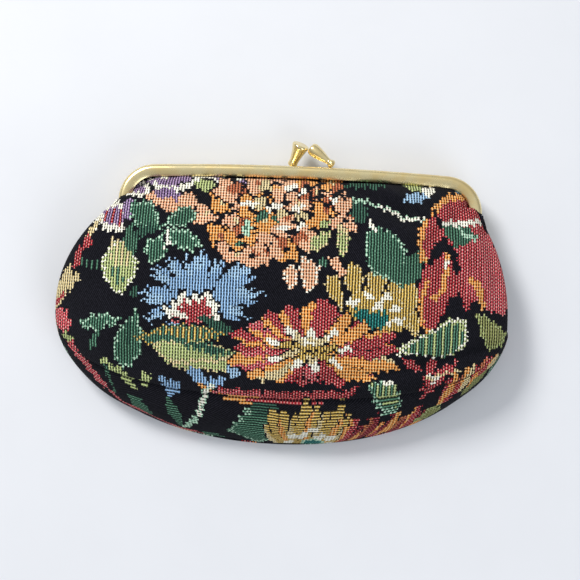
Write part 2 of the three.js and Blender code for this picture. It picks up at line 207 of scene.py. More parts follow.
class Cloth:
    """The thread cells of a cloth, painted motif by motif in plan millimetres."""

    def __init__(self, x, y, column, row, seed):
        random = np.random.default_rng(seed)
        ends = random.uniform(-1, 1, column.max() + 1)
        teeth = (column / WAVE_COLUMNS) % 1 - 0.5
        sides = random.uniform(-1, 1, (row.max() // 3 + 1, column.max() // 3 + 1))
        self.x = x + SIDE_RAGGED * sides[row // 3, column // 3]
        self.y = y + END_RAGGED * ends[column] + WAVE_RAGGED * teeth
        self.even = (row // 2 + column) % 2 == 0
        self.columns = column
        self.float = np.tile(YARNS["ground"][0], (len(x), 1))
        self.tick = np.tile(YARNS["ground"][1], (len(x), 1))
        self.figure = np.zeros(len(x))
        self.bridge = np.zeros(len(x))

    def fill(self, mask, yarn):
        self.float[mask], self.tick[mask], self.bridge[mask], self.figure[mask] = YARNS[yarn]

    def local(self, at, angle):
        turn = math.radians(angle)
        dx = self.x - at[0]
        dy = self.y - at[1]
        return dx * math.cos(turn) + dy * math.sin(turn), dy * math.cos(turn) - dx * math.sin(turn)

    # Each field is about the distance inside a shape's edge, in millimetres.
    def petal_field(self, base, angle, length, width, peak, bluntness):
        s, t = self.local(base, angle)
        share = np.clip(s / length, 0, 1)
        exponent = math.log(0.5) / math.log(peak)
        half = 0.5 * width * np.sin(np.pi * share**exponent) ** bluntness
        return np.where((s > 0) & (s < length), half - np.abs(t), -1.0), s, t

    def polygon_field(self, points):
        inside = np.zeros(len(self.x), bool)
        nearest = np.full(len(self.x), 1e9)
        for (x0, y0), (x1, y1) in zip(points, points[1:] + points[:1]):
            crosses = (y0 > self.y) != (y1 > self.y)
            if y1 != y0:
                inside ^= crosses & (self.x < (x1 - x0) * (self.y - y0) / (y1 - y0) + x0)
            nearest = np.minimum(nearest, self.segment_distance((x0, y0), (x1, y1)))
        return np.where(inside, nearest, -nearest)

    def segment_distance(self, start, end):
        dx, dy = end[0] - start[0], end[1] - start[1]
        share = ((self.x - start[0]) * dx + (self.y - start[1]) * dy) / (dx * dx + dy * dy)
        share = np.clip(share, 0, 1)
        return np.hypot(self.x - start[0] - share * dx, self.y - start[1] - share * dy)

    def petal(self, base, angle, length, width, yarn, edge=None, side=None, peak=0.55):
        """A petal with an edge yarn round it, or a second yarn along its left side."""
        field, _, t = self.petal_field(base, angle, length, width, peak, PETAL_BLUNTNESS)
        self.fill(field > 0, yarn)
        if side:
            self.fill((field > 0) & (t > 0.18 * width), side)
        if edge:
            self.fill((field > 0) & (field < 0.75) & self.even, edge)

    def leaf(self, base, angle, length, width, yarn, edge=None, rib=None, peak=0.45):
        field, s, t = self.petal_field(base, angle, length, width, peak, LEAF_BLUNTNESS)
        self.fill(field > 0, yarn)
        if edge:
            self.fill((field > 0) & (field < 0.95) & self.even, edge)
        if rib:
            self.fill((np.abs(t) < 0.45) & (s > 0.05 * length) & (s < 0.9 * length), rib)

    def blob(self, at, across, up, yarn, tilt=0.0, edge=None):
        s, t = self.local(at, tilt)
        field = (1 - np.hypot(s / across, t / up)) * min(across, up)
        self.fill(field > 0, yarn)
        if edge:
            self.fill((field > 0) & (field < 0.8), edge)

    def patch(self, points, yarn, edge=None, width=0.95):
        field = self.polygon_field(points)
        self.fill(field > 0, yarn)
        if edge:
            self.fill((field > 0) & (field < width) & self.even, edge)

    def line(self, points, width, yarn):
        near = np.full(len(self.x), 1e9)
        for start, end in zip(points, points[1:]):
            near = np.minimum(near, self.segment_distance(start, end))
        self.fill(near < width / 2, yarn)

    def stripes(self, points, yarn, every=2, offset=0):
        """Only every so many thread columns of a patch."""
        field = self.polygon_field(points)
        self.fill((field > 0) & (self.columns % every == offset), yarn)


def beside(at, angle, across, up):
    """The point at a bearing in degrees on an ellipse round another."""
    turn = math.radians(angle)
    return at[0] + across * math.cos(turn), at[1] + up * math.sin(turn)


def floret(cloth, at, size, yarn, heart, turn, shade=None):
    """A hydrangea floret: four uneven petals, one of them shaded, round a small heart."""
    for quarter in range(4):
        middle = beside(at, 45 + 90 * quarter + turn, 0.46 * size, 0.42 * size)
        petal_yarn = shade if shade and quarter == 3 else yarn
        cloth.blob(middle, 0.40 * size, 0.34 * size, petal_yarn, tilt=20 * (quarter - 1.5))
    cloth.blob(at, 0.18 * size, 0.16 * size, heart)


def hydrangea(cloth, centres, size):
    """A head of florets, in salmon and orange, with dark gaps between them."""
    for number, at in enumerate(centres):
        yarn = ("salmon", "orange", "salmon", "salmon", "orange")[number % 5]
        heart = ("straw", "brick", "ground")[number % 3]
        turn = 17 * number
        shade = (None, "brick", "straw", "brick")[number % 4]
        if number % 4:
            floret(cloth, at, size * 1.17, "ground", "ground", turn)
        floret(cloth, at, size * (0.94 + 0.06 * (number % 3)), yarn, heart, turn, shade)


def cornflower(cloth, at, petals, heart_size):
    """Blue toothed petals round a cream and red heart. Each petal is (angle, length, spread)."""
    distance = np.hypot(cloth.x - at[0], cloth.y - at[1])
    bearing = np.degrees(np.arctan2(cloth.y - at[1], cloth.x - at[0]))
    for angle, length, spread in petals:
        across = ((bearing - angle + 180) % 360 - 180) / spread
        tooth = np.abs((1.5 * across + 0.5) % 1 - 0.5) * 2
        reach = length * (1.04 - 0.30 * tooth - 0.10 * across**2)
        outline = reach - distance
        narrowing = 1.38 - 0.86 * np.clip(distance / length, 0, 1) ** 1.5
        inside = (np.abs(across) < narrowing) & (outline > 0)
        cloth.fill(inside, "blue")
        cloth.fill(inside & (distance > 0.6 * length) & (across > -0.2), "pale_blue")
    # The heart opens upwards like a small crown.
    base = (at[0] - 0.35 * heart_size, at[1] - 0.8 * heart_size)
    tips = ((160, 1.35), (136, 1.2), (112, 1.4), (84, 1.25), (60, 1.55), (38, 1.45), (16, 1.3))
    for growth, width, yarn in ((1.12, 0.62, "ground"), (1.0, 0.52, "cream")):
        for angle, reach in tips:
            cloth.petal(base, angle, growth * reach * heart_size, width * heart_size, yarn, peak=0.62)
    for angle, reach in tips:
        cloth.petal(base, angle, 0.76 * reach * heart_size, 0.42 * heart_size, "red", peak=0.6)
    foot = [(base[0] - 0.9 * heart_size, base[1] - 0.1), (base[0] + 0.8 * heart_size, base[1] + 0.3)]
    cloth.line(foot, 1.3, "red")


def chrysanthemum(cloth, at, petals, flatten, heart_size):
    """Two-coloured petals round a star-shaped gold heart with cream tips, seen from a slant."""
    kept_y = cloth.y
    cloth.y = at[1] + (cloth.y - at[1]) / flatten
    for angle, length, width, yarn, side in petals:
        cloth.petal(at, angle, length + 0.5, 1.16 * width + 0.8, "ground", peak=0.68)
        cloth.petal(at, angle, length, 1.16 * width, yarn, side=side, peak=0.68)
    for arm in range(9):
        angle = 40 * arm + 6
        reach = heart_size * (1.08 + 0.22 * math.cos(2 * math.radians(angle)) + 0.10 * (arm % 2))
        cloth.petal(at, angle, reach + 0.7, 0.36 * heart_size, "ground", peak=0.5)
        cloth.petal(at, angle, reach, 0.26 * heart_size, ("gold", "straw")[arm % 2], peak=0.4)
        tip = beside(at, angle, 0.84 * reach, 0.84 * reach)
        cloth.blob(tip, 0.25 * heart_size, 0.13 * heart_size, "cream", tilt=angle)
    cloth.blob(at, 0.26 * heart_size, 0.26 * heart_size, "gold")
    above = (at[0] + 0.2, at[1] + 0.46 * heart_size)
    cloth.blob(above, 0.20 * heart_size, 0.22 * heart_size, "straw", edge="cream")
    cloth.blob((at[0], at[1] - 0.06 * heart_size), 0.28 * heart_size, 0.05 * heart_size, "ground")
    cloth.y = kept_y


def pansy(cloth, at, size, turn):
    """A lilac flower with cream edges and a dark heart."""
    for number in range(5):
        middle = beside(at, 72 * number + turn, 0.5 * size, 0.5 * size)
        cloth.blob(middle, 0.46 * size, 0.42 * size, "lilac", edge="cream")
    cloth.blob(at, 0.3 * size, 0.26 * size, "deep_red")


def marigold(cloth, at, size):
    """A ragged yellow flower seen from its side: fanned petals round a teal and cream heart."""
    for number in range(11):
        step = number - 5
        base = (at[0] + 0.10 * size * step, at[1])
        length = size * (0.84 + 0.08 * ((5 * number) % 3))
        angle = 90 - 8.5 * step
        side = ("straw", None, "orange")[number % 3]
        cloth.petal(base, angle, length + 0.5, 0.36 * size, "ground", peak=0.66)
        cloth.petal(base, angle, length, 0.33 * size, "gold", side=side, peak=0.66)
    for number in range(7):
        reach = size * (0.50 + 0.10 * (number % 2))
        cloth.blob(beside(at, 24 + 22 * number, reach, reach), 1.7, 0.9, "cream", tilt=15)
    cloth.blob((at[0] + 0.1 * size, at[1] + 0.24 * size), 0.26 * size, 0.18 * size, "teal", edge="mint")


def front_pattern(cloth):
    """The front panel's flowers, placed in plan millimetres."""
    blob, leaf, line = cloth.blob, cloth.leaf, cloth.line
    patch, petal, stripes = cloth.patch, cloth.petal, cloth.stripes
    # Pansies along the bar, at the left.
    behind = [(-52, 34), (-47, 41), (-38, 44), (-8, 43.5), (-8, 38), (-22, 35.5), (-35, 30.5), (-48, 30)]
    patch(behind, "ground")
    blob((-46.5, 37.6), 4, 2.6, "cream", -8)
    blob((-46.8, 37.7), 2.6, 1.5, "lilac", -8)
    blob((-39.5, 40), 5.6, 2.2, "lilac", -22)
    line([(-47, 41.6), (-42, 42.6), (-38.6, 41.2)], 1.1, "cream")
    line([(-41, 38.4), (-36, 37), (-31, 39.3)], 1.9, "cream")
    blob((-34.8, 41.6), 3.4, 1.7, "lilac", -10)
    blob((-28.5, 42.2), 2.5, 1.2, "cream", 25)
    blob((-37, 34.8), 4.6, 2.8, "lilac", -20)
    blob((-35.8, 32.4), 4, 2, "salmon", -30)
    blob((-41, 34.6), 2.8, 1.2, "salmon", -25)
    blob((-31.6, 34.4), 2.8, 2.4, "salmon", 10)
    leaf((-30.5, 40.5), -24, 10.5, 3.4, "lime")
    blob((-24.3, 42.2), 3.2, 1.7, "lilac", -15, "cream")
    blob((-14.5, 40.9), 4.6, 2.2, "lilac", 12, "cream")
    blob((-18.6, 38), 3, 1.4, "lilac", 35)
    line([(-21.5, 36.6), (-19, 35.6)], 1, "cream")
    # A pale flower at the left edge.
    blob((-55, 34), 4, 2.2, "cream", 28)
    blob((-47.5, 31.2), 2.6, 3, "lilac")
    patch([(-58.5, 31), (-55, 33), (-50, 33.4), (-48.6, 25.2), (-53.5, 24.6), (-56, 27), (-57, 24)], "cream")
    blob((-52.3, 29.2), 3, 2.6, "lilac")
    stripes([(-55.4, 31.6), (-49.4, 31.6), (-49.4, 26.6), (-54.2, 27.4)], "red", 3, 1)
    # Gold and red along the left edge.
    line([(-56.9, 27.6), (-58.6, 24.8), (-60.4, 20)], 1.3, "straw")
    blob((-59.4, 21.6), 1.5, 2.3, "red", -20)
    blob((-62, 17), 1.2, 3.2, "red", -8)
    edge = [(-64.2, 15.6), (-62.8, 12), (-61.2, 13), (-60.6, 11), (-64, 7.6), (-67.5, 2), (-69, 5)]
    patch(edge + [(-66.5, 12)], "straw")
    line([(-67.6, 3.8), (-65.4, 7.2)], 1, "red")
    blob((-65.4, -0.4), 2.3, 3.4, "rose", 24)
    line([(-64.4, -4.6), (-62.8, -6.6)], 1.8, "lime")
    line([(-63, -7.2), (-55.2, -17.6)], 2.2, "rose")
    # Green sprigs at the left.
    stripes([(-61, 17.4), (-53, 16.4), (-52, 12.8), (-57, 14.2), (-61, 15.4)], "green", 2)
    leaf((-60.6, -1.2), 8, 13, 4.4, "green", "mint")
    leaf((-57.2, -9), 66, 9, 1.7, "green")
    leaf((-47.6, -13.6), 78, 17.4, 8.2, "green", "mint", peak=0.42)
    line([(-46.6, -6), (-46, 1.2)], 0.9, "dark_green")
    line([(-53.4, -11.4), (-49.6, -13.6), (-45, -17.4)], 1.5, "lime")
    line([(-53, -12.4), (-51.8, -19.6)], 0.8, "green")
    blob((-41.2, -15.8), 1.7, 1.3, "lime", 40)
    # The yellow-green leaf.
    leaf((-48.6, 7), 97, 16.6, 10.4, "lime", "cream", peak=0.5)
    stripes([(-52.6, 23), (-47.2, 23), (-46.8, 15.6), (-52, 15)], "straw", 2, 1)
    stripes([(-52.4, 15.4), (-48.4, 15.4), (-48, 10.4), (-51, 10.6)], "green", 2)
    leaf((-46.2, 18.8), 96, 8.4, 4.6, "green")
    leaf((-44, 6.2), 112, 4.6, 2.2, "dark_green")
    # The star leaf, with its lobes and serrated outlines.
    leaf((-37.6, 25.4), 142, 12.6, 7.6, "green", "mint", peak=0.6)
    leaf((-38.4, 26.4), 30, 11.4, 5.6, "green", "mint", peak=0.6)
    leaf((-38.2, 25.6), -19, 12.6, 5.8, "green", "mint", peak=0.55)
    leaf((-37.4, 25.6), 248, 10, 6.6, "green", "mint", peak=0.6)
    leaf((-38, 27), 200, 9, 3, "dark_green", peak=0.6)
    line([(-36.6, 25), (-35.6, 22.2), (-37.2, 20.6)], 0.8, "cream")
    # The cornflower.
    cornflower(
        cloth,
        (-26.4, 5.8),
        [
            (198, 16.4, 12), (172, 17.6, 13), (146, 17.4, 9), (127, 16.2, 9), (108, 14.4, 9), (90, 15.6, 11),
            (67, 15.4, 9), (39, 19, 15), (12, 17.8, 12), (-13, 13.6, 13), (218, 12, 10),
        ],
        6.2,
    )
    line([(-36.2, 3.6), (-30.4, 2.2)], 1.5, "cream")
    line([(-41.8, -0.2), (-33, 1.4), (-29.4, 0)], 1.1, "ground")
    # The hydrangea.
    hydrangea(
        cloth,
        [
            (-25.8, 30.6), (-21.6, 25.2), (-18.4, 21.6), (-17.6, 29.4), (-12.4, 23.8), (-12.6, 19.9),
            (-22, 34.4), (-16.2, 35.4), (-7.2, 25), (-9, 38.6), (-3.4, 30.6), (-3.4, 21.8),
            (-4.4, 36.6), (1.8, 25), (3, 31.8), (4.6, 38.4), (7.2, 33), (9.6, 37.6),
            (12.2, 29.4), (0.8, 41.6), (-4.6, 42), (8.6, 41.6), (-12, 40.6), (13.6, 33.2),
            (-9.8, 29.4), (-20.4, 38), (-13.4, 33), (-0.6, 35.2), (-8.4, 21.2), (-16.4, 24.6),
        ],
        4.9,
    )
    for x, y, half in (
        (-9.2, 36.9, 1.4), (-4.2, 34.9, 1.5), (-0.3, 37, 1.1), (5.4, 36.8, 2), (7.8, 34.7, 1.2),
        (-0.3, 29.4, 2.1), (11.4, 37.4, 1.4), (-11.8, 31.8, 1.8), (-1.3, 25.8, 1), (-8.5, 22.4, 1.2),
        (12.4, 31.2, 1), (4.2, 27.8, 1.4), (-6.4, 40.2, 1.6), (2.2, 39.9, 1.4), (-19.6, 33.2, 0.9),
        (-23.4, 28.4, 1), (-2.8, 44, 2), (6.4, 43.4, 2.2), (-15, 22.2, 0.8), (6.2, 41, 1.2),
    ):
        blob((x, y), half, 0.62, "ground", 6)
    for x, y, half in (
        (-14.3, 34.1, 2.4), (-7.1, 33.4, 2.6), (-0.8, 33.2, 2), (-4.2, 27.8, 1.8), (0.3, 28.2, 1.6),
        (-2.8, 39.4, 2), (0.6, 37.9, 1.4), (9.4, 36, 1.2),
    ):
        blob((x, y), half, 0.85, "cream", 14)
    blob((-14.4, 27), 1.1, 2.5, "green", -14, "mint")
    blob((-10.6, 30.6), 2, 1.3, "green", 20)
    blob((-6.8, 29.8), 0.9, 0.9, "green")
    blob((-16.4, 22.9), 1.1, 0.8, "green")
    blob((7, 29), 1.9, 1, "lime", 20)
    leaf((2.8, 22), 40, 8.2, 4.4, "lime", "straw")
    leaf((12, 20.6), 88, 8.4, 3.6, "lime", "straw")
    blob((6.9, 18.4), 1.4, 1.2, "green")
    # Separate florets below it.
    for floret_edge in (
        [(-4.2, 15.8), (-2.2, 17.4), (0.4, 16.6), (-0.2, 12.4), (-1.4, 9.8), (-3.2, 12.6)],
        [(0.4, 16.4), (1.4, 20), (3.6, 19.4), (6, 17.2), (5, 12), (3.6, 10.2), (1.6, 11.6)],
    ):
        patch(floret_edge, "salmon", "cream", 0.7)
    patch([(8.2, 20), (10.2, 19.8), (13.2, 17.2), (11.8, 14.4), (9.6, 16.8)], "salmon")
    # The gold flower with a teal heart.
    for base, angle, length, width in (
        ((12.6, 5.8), 112, 10.2, 4.6), ((16.4, 8.6), 98, 10.4, 5), ((21.6, 9), 88, 9, 5.6),
        ((27.6, 8), 96, 8.4, 4), ((30.4, 1), 88, 14.6, 6), ((33.4, -1.4), 98, 8, 3.4),
        ((23.4, 2.6), 60, 10, 5), ((14.4, 4), 60, 8, 5),
    ):
        petal(base, angle, length, width, "gold", "straw", peak=0.6)
    patch([(14.6, 9.4), (19, 11.8), (25.6, 11), (30, 7), (30, 1.2), (26, 0), (15, 3)], "gold")
    for at in ((15.6, 8), (19.8, 10), (24.6, 9.6), (27.6, 6.6), (22.6, 7.4), (28.2, 3.4), (25.2, 2.6)):
        blob(at, 1.7, 1, "cream", 10)
    for offset, left, right in ((1, 6.6, 6), (0, 5.4, 5)):
        stripes([(16.4, left), (25.2, right), (25.2, 1.2), (16.4, 1.6)], "teal", 2, offset)
    # Green leaves at the right.
    leaf((28.4, 12.8), 116, 19.4, 11.6, "green", "mint", peak=0.5)
    line([(19.6, 31), (20.8, 28.6)], 1, "cream")
    leaf((29, 12.8), 64, 12.4, 5.6, "green")
    leaf((17.6, 29.4), 108, 9, 4.6, "dark_green")
    leaf((11.6, 41.2), 2, 14, 2.8, "dark_green")
    line([(14.6, 36.8), (20.6, 35.8), (25.6, 34), (28.8, 32), (34.8, 31.8)], 1, "mint")
    line([(22.6, 35), (25.8, 33.4), (29.2, 31.6), (34.4, 32)], 0.8, "cream")
    # Small blue bells.
    blob((32.4, 38), 3.6, 1.5, "pale_blue", 8)
    blob((36, 40), 1.8, 1.4, "cream")
    blob((31.6, 41.4), 2.6, 1.3, "lime", -14)
    blob((45.8, 41.4), 2.8, 1.5, "pale_blue", -30)
    # The tulip.
    patch(
        [
            (36.6, 33.6), (39.6, 36.8), (44, 38.6), (49.6, 39.4), (52.4, 32), (55.6, 25), (59.6, 15.6),
            (60.6, 9), (58.4, 6), (54, 7.6), (50.4, 10.4), (48.4, 7.4), (47, 7), (45.2, 11.6),
            (42, 9.4), (40.6, 5), (37.2, 0.2), (35.2, 1.8), (34.2, 8), (33.6, 14), (35, 19),
            (33.5, 22.4), (33.6, 29), (36, 32),
        ],
        "red",
    )
    stripes([(43, 24), (50, 31), (56, 24), (58, 6), (53, 7.6), (47, 12)], "rose", 2)
    patch([(50, 26), (53.6, 29.6), (59.4, 16), (60.6, 9), (58.4, 6), (54.5, 7.6), (51.6, 16)], "rose")
    line([(37.2, 33.4), (39.2, 36.6), (42.4, 38.6), (48.6, 39.6)], 2, "orange")
    line([(35.6, 31.2), (33.9, 28.4), (33.7, 22.6), (35, 20.2)], 1.5, "orange")
    line([(36, 14.8), (34.4, 9.2), (34.8, 2.4), (37, 0.6)], 1, "orange")
    line([(39.6, 30.6), (45, 31.4), (52.6, 32.2)], 1.5, "cream")
    patch([(39.6, 30.2), (47, 30.6), (49.8, 28), (46.8, 25.6), (43.2, 24.4), (41.6, 27)], "green")
    line([(44.6, 29.6), (46.8, 28), (49.4, 27.2)], 1.1, "mint")
    patch(
        [
            (38.2, 25.6), (40.8, 27.2), (42, 24.4), (43.8, 23.6), (45, 18), (43.4, 16.8), (42.4, 20.6),
            (41, 22.8), (38.6, 21.4), (37, 18.6), (35.8, 20.6),
        ],
        "ground",
    )
    line([(37.8, 34), (39.4, 30)], 1.2, "ground")
    line([(41.4, 22), (41, 17.6), (40.4, 12.6), (37.8, 9.8)], 1.5, "orange")
    line([(48.4, 15.4), (51, 13.6), (51.8, 8.6)], 1.9, "orange")
    line([(41.4, 20.6), (41, 18.6)], 0.8, "cream")
    foot = [(42.6, 9.8), (45, 12), (46.2, 7.4), (47.4, 6.6), (49.4, 10.4), (50.6, 6), (45, 3), (41, 5)]
    patch(foot, "ground")
    # Striped leaves below the tulip.
    blade = [(23.6, -6.2), (29, -3.6), (37, 0.6), (43, 4.6), (48, 4.8), (47.6, -2.8), (42, -6.6), (33, -5.6)]
    patch(blade, "lime", "cream")
    for offset in (0, 1):
        inside = [(30, -4.6), (37, -0.4), (43, 3.2), (46.6, 3.2), (46.6, -2.8), (42, -6.6), (33, -5.6)]
        stripes(inside, "green", 3, offset)
    beside_it = [(50.2, 5.6), (52.6, 6.2), (56.4, 3.6), (59.2, 1.4), (58.8, -2.8), (54.6, -4), (52, 0)]
    patch(beside_it, "olive", "lime")
    # The leaf between the cornflower and the chrysanthemum.
    leaf((-44, -4.6), 6, 26, 6.4, "green", "gold")
    stripes([(-41, -2.6), (-28, -0.6), (-20, -3.6), (-30, -4.2)], "gold", 2)
    lower = [(-39.6, -5.6), (-33, -4.4), (-22, -5), (-15, -7.4), (-18, -12.6), (-32, -12.4), (-36.8, -9.8)]
    patch(lower, "lime", "straw")
    stripes([(-35, -4.4), (-22, -5), (-16.4, -7.4), (-20, -9.8), (-29, -6.6)], "green", 2)
    stripes([(-33, -4.8), (-22, -5.4), (-18.4, -7.4), (-22, -7.8)], "dark_green", 2, 1)
    line([(-34, -10.6), (-22, -9.6), (-17, -8.2)], 0.9, "straw")
    leaf((-27, 2.2), -20, 13, 3, "dark_green")
    # Small blue flowers at the foot.
    patch([(-29.6, -11.8), (-26.4, -12.2), (-22.6, -16.4), (-23.6, -17.2), (-27.8, -15.8)], "blue")
    patch([(-23.4, -14.6), (-18.8, -13.8), (-19.4, -16.6), (-23, -17.2)], "blue")
    patch([(-18.4, -10.2), (-15, -9.8), (-15.2, -14.4), (-17.8, -14.2)], "pale_blue")
    patch([(-38, -15.6), (-31.2, -16.4), (-31.4, -18.6), (-35.2, -20), (-36.4, -17.8)], "blue")
    # The chrysanthemum.
    chrysanthemum(
        cloth,
        (3.8, -5.6),
        [
            (262, 15.8, 6.4, "red", "rose"), (283, 14.6, 5.8, "rose", "orange"),
            (240, 16.4, 7.4, "orange", "red"), (305, 18, 7.4, "red", "orange"),
            (218, 20.6, 8.6, "orange", "straw"), (328, 22, 6.6, "orange", "red"),
            (198, 23, 7.4, "orange", "rose"), (346, 26, 6.6, "orange", "straw"),
            (182, 20.4, 5.6, "red", "rose"), (4, 24.6, 6.4, "red", "orange"),
            (166, 22.4, 5.6, "red", "orange"), (17, 25.6, 5.8, "red", "orange"),
            (150, 19.6, 5.6, "rose", "orange"), (36, 20, 6.4, "orange", "red"),
            (130, 19.4, 6.4, "red", "orange"), (57, 19.4, 6, "orange", "rose"),
            (110, 19.2, 5.8, "red", "orange"), (80, 21.6, 8.8, "red", "orange"),
        ],
        0.66,
        9.4,
    )
    line([(-24, -17.6), (-13, -17.4), (-2, -17.6), (14, -16.6), (22, -13.4)], 0.9, "ground")
    under_it = [
        (-25.4, -17.4), (-13, -17.9), (-2, -18.2), (14, -17.2), (18.6, -15), (17, -18.4), (4, -20.8),
        (-12, -20.6),
    ]
    patch(under_it, "red")
    line([(-25.6, -17.6), (-16, -20.2), (-9, -20.9)], 1, "orange")
    line([(-22, -18.4), (-8, -19.2)], 0.8, "rose")
    # Leaves and petals near the foot, at the right.
    leaf((20.6, -14.4), -28, 13.4, 6.4, "green", "mint")
    stripes([(21, -14), (29, -14), (30, -20), (24, -19)], "lime", 2)
    blob((26.4, -14.4), 1.6, 0.8, "cream")
    for base, angle, length in (
        ((30, -7.2), -30, 6.4), ((39, -6.6), 250, 7), ((43.6, -8), 225, 12), ((46, -6.6), 230, 15),
        ((50, -10.4), 235, 11),
    ):
        petal(base, angle, length, 2.4, "red", peak=0.5)
    blob((39, -12.4), 1.9, 1.2, "cream", -10)
    line([(37.6, -12.6), (46.4, -9.6)], 0.9, "straw")
    for number in range(6):
        base = (43 + 2.5 * number, -19.4 + 1.75 * number)
        yarn, side = (("orange", "red"), ("red", "brick"), ("straw", "orange"))[number % 3]
        petal(base, 74 - 9 * (number % 2), 9.4 - 0.5 * number, 3.9, "ground", peak=0.6)
        petal(base, 74 - 9 * (number % 2), 9 - 0.5 * number, 3.4, yarn, side=side, peak=0.6)
    patch([(52.2, -12.2), (56.4, -9.6), (55.6, -13.4), (51.4, -17.8), (49.4, -16.4)], "olive")


def gusset_pattern(cloth):
    """The gusset's flowers, on the plan that it would have if it were folded out flat."""
    blob, leaf, line, petal = cloth.blob, cloth.leaf, cloth.line, cloth.petal
    leaf((-47.6, -18.4), -58, 9.4, 4.6, "green")
    leaf((-35.8, -19.6), -78, 8.6, 3.4, "green")
    line([(-33.6, -27.4), (-28.4, -24.2), (-22.6, -16.8)], 1.3, "mint")
    line([(-27.4, -22.8), (-22.6, -16.8)], 0.8, "cream")
    leaf((-20.8, -27.4), 8, 18.6, 9.4, "green", "mint", peak=0.55)
    leaf((-13, -21.4), -4, 12.6, 2.6, "dark_green")
    leaf((-30.6, -29.6), -12, 12.6, 2.4, "green")
    line([(-62, -8.6), (-52, -21.4), (-40, -27.6), (-24, -31.4), (-6, -33.2)], 1.1, "rose")
    marigold(cloth, (7.4, -33.6), 14.4)
    # Slanting petals beside it.
    for number in range(8):
        base = (16.6 + 3.1 * number, -32.4 + 0.75 * number - 0.6 * (number % 2))
        yarn, side = (("red", "orange"), ("orange", "deep_red"), ("deep_red", "brick"))[number % 3]
        petal(base, 74 - 7 * (number % 2), 11.8 - 0.4 * number, 4.6, "ground", peak=0.56)
        petal(base, 74 - 7 * (number % 2), 11.2 - 0.4 * number, 4, yarn, side=side, peak=0.56)
    leaf((46.4, -21), 198, 9, 4.4, "olive", "lime")
    leaf((60, -16), 75, 14, 6.4, "green", "mint")
    blob((66, -4), 3.4, 4.6, "red", edge="rose")
    leaf((70.6, -8), 85, 12, 4, "green")
    blob((-72, -2.6), 3.2, 4.4, "salmon", edge="cream")
    leaf((-66.4, -16), 110, 12, 5, "green", "mint")
    blob((-77, -1.6), 2.4, 3.4, "red")
    # Under the overhang beside the frame's legs.
    leaf((-64, 28), 200, 12, 5, "green", "mint")
    blob((-70, 20), 3.6, 2.8, "orange", edge="straw")
    leaf((-66, 14), 170, 12, 4.6, "lime", "cream")
    leaf((62, 24), 10, 12, 5, "green", "mint")
    blob((66, 14), 3.4, 3, "rose", edge="cream")
    leaf((60, 33), 20, 10, 4.2, "olive", "lime")


def back_pattern(cloth):
    """The back panel: the same flowers, laid out another way."""
    blob, leaf, petal = cloth.blob, cloth.leaf, cloth.petal
    cornflower(cloth, (26, -6), [(30 * number, 13.5 + 2 * (number % 3), 5.4) for number in range(12)], 6.4)
    petals = []
    for number in range(15):
        yarns = ("red", "orange", "rose")[number % 3], ("orange", "red")[number % 2]
        petals.append((24 * number, 17 + 3 * (number % 3), 6.2, *yarns))
    chrysanthemum(cloth, (-14, 18), petals, 0.9, 8.5)
    florets = [(-34 + 5.2 * i + 2.6 * (j % 2), -22 + 5 * j) for j in range(4) for i in range(5)]
    hydrangea(cloth, florets, 5.4)
    for at, angle in (
        ((2, -18), 40), ((8, -24), -20), ((-44, 2), 100), ((-38, 6), 150), ((10, 34), 160), ((34, 14), 60),
    ):
        leaf(at, angle, 15, 7.4, "green", "mint", rib="dark_green")
    for at, size in (((22, 30), 6), ((32, 28), 5.4), ((27, 36), 5.2), ((-48, 20), 5.4), ((-44, 28), 5)):
        pansy(cloth, at, size, turn=at[0])
    for at, angle in (((46, 4), 120), ((50, 12), 60), ((-6, -6), 200), ((-2, 2), 10)):
        leaf(at, angle, 12, 5.6, "lime", "cream")
    for angle in range(0, 360, 60):
        petal((44, 22), angle, 9, 5, "gold", "straw")
    blob((44, 22), 2.6, 2.4, "teal")
    # Flowers and leaves round the edge, which turn up beside the frame.
    for number in range(34):
        turn = 2 * math.pi * number / 34
        out = 1 + 0.07 * ((3 * number) % 4 - 1)
        at = (4 + 65 * out * math.cos(turn), 2 + 37 * out * math.sin(turn))
        bearing = math.degrees(turn) + 70 + 40 * (number % 3)
        if number % 3 == 0:
            leaf(at, bearing, 12, 5.6, "green", "mint")
        elif number % 6 == 1:
            pansy(cloth, at, 5, turn=bearing)
        elif number % 6 == 4:
            blob(at, 4.2, 3.2, "salmon", edge="straw")
            blob(at, 1.4, 1.2, "red")
        else:
            petal(at, bearing, 9, 4.6, "red", side="orange")
            petal(at, bearing + 120, 7, 3.6, "rose")


# ---------------------------------------------------------------- sums


def smooth(low, high, value):
    """A share from 0 at low to 1 at high, with no kink at either end."""
    share = np.clip((value - low) / (high - low), 0, 1)
    return share * share * (3 - 2 * share)


def power(value, exponent):
    return np.maximum(value, 0) ** exponent


def distance_along(points):
    """The distance gone at each point of a line."""
    return np.concatenate([[0], np.cumsum(np.linalg.norm(np.diff(points, axis=0), axis=1))])


def even(values, points, count):
    """As many values as count, so that the points along a line, given at values, are evenly apart."""
    gone = distance_along(points)
    return np.interp(np.linspace(0, gone[-1], count), gone, values)


# ---------------------------------------------------------------- frame line


def arc_rows(turn, radius, x, y):
    """Rows of a frame line, on an arc about a centre."""
    return np.stack([x + radius * np.cos(turn), y + radius * np.sin(turn), turn], 1)


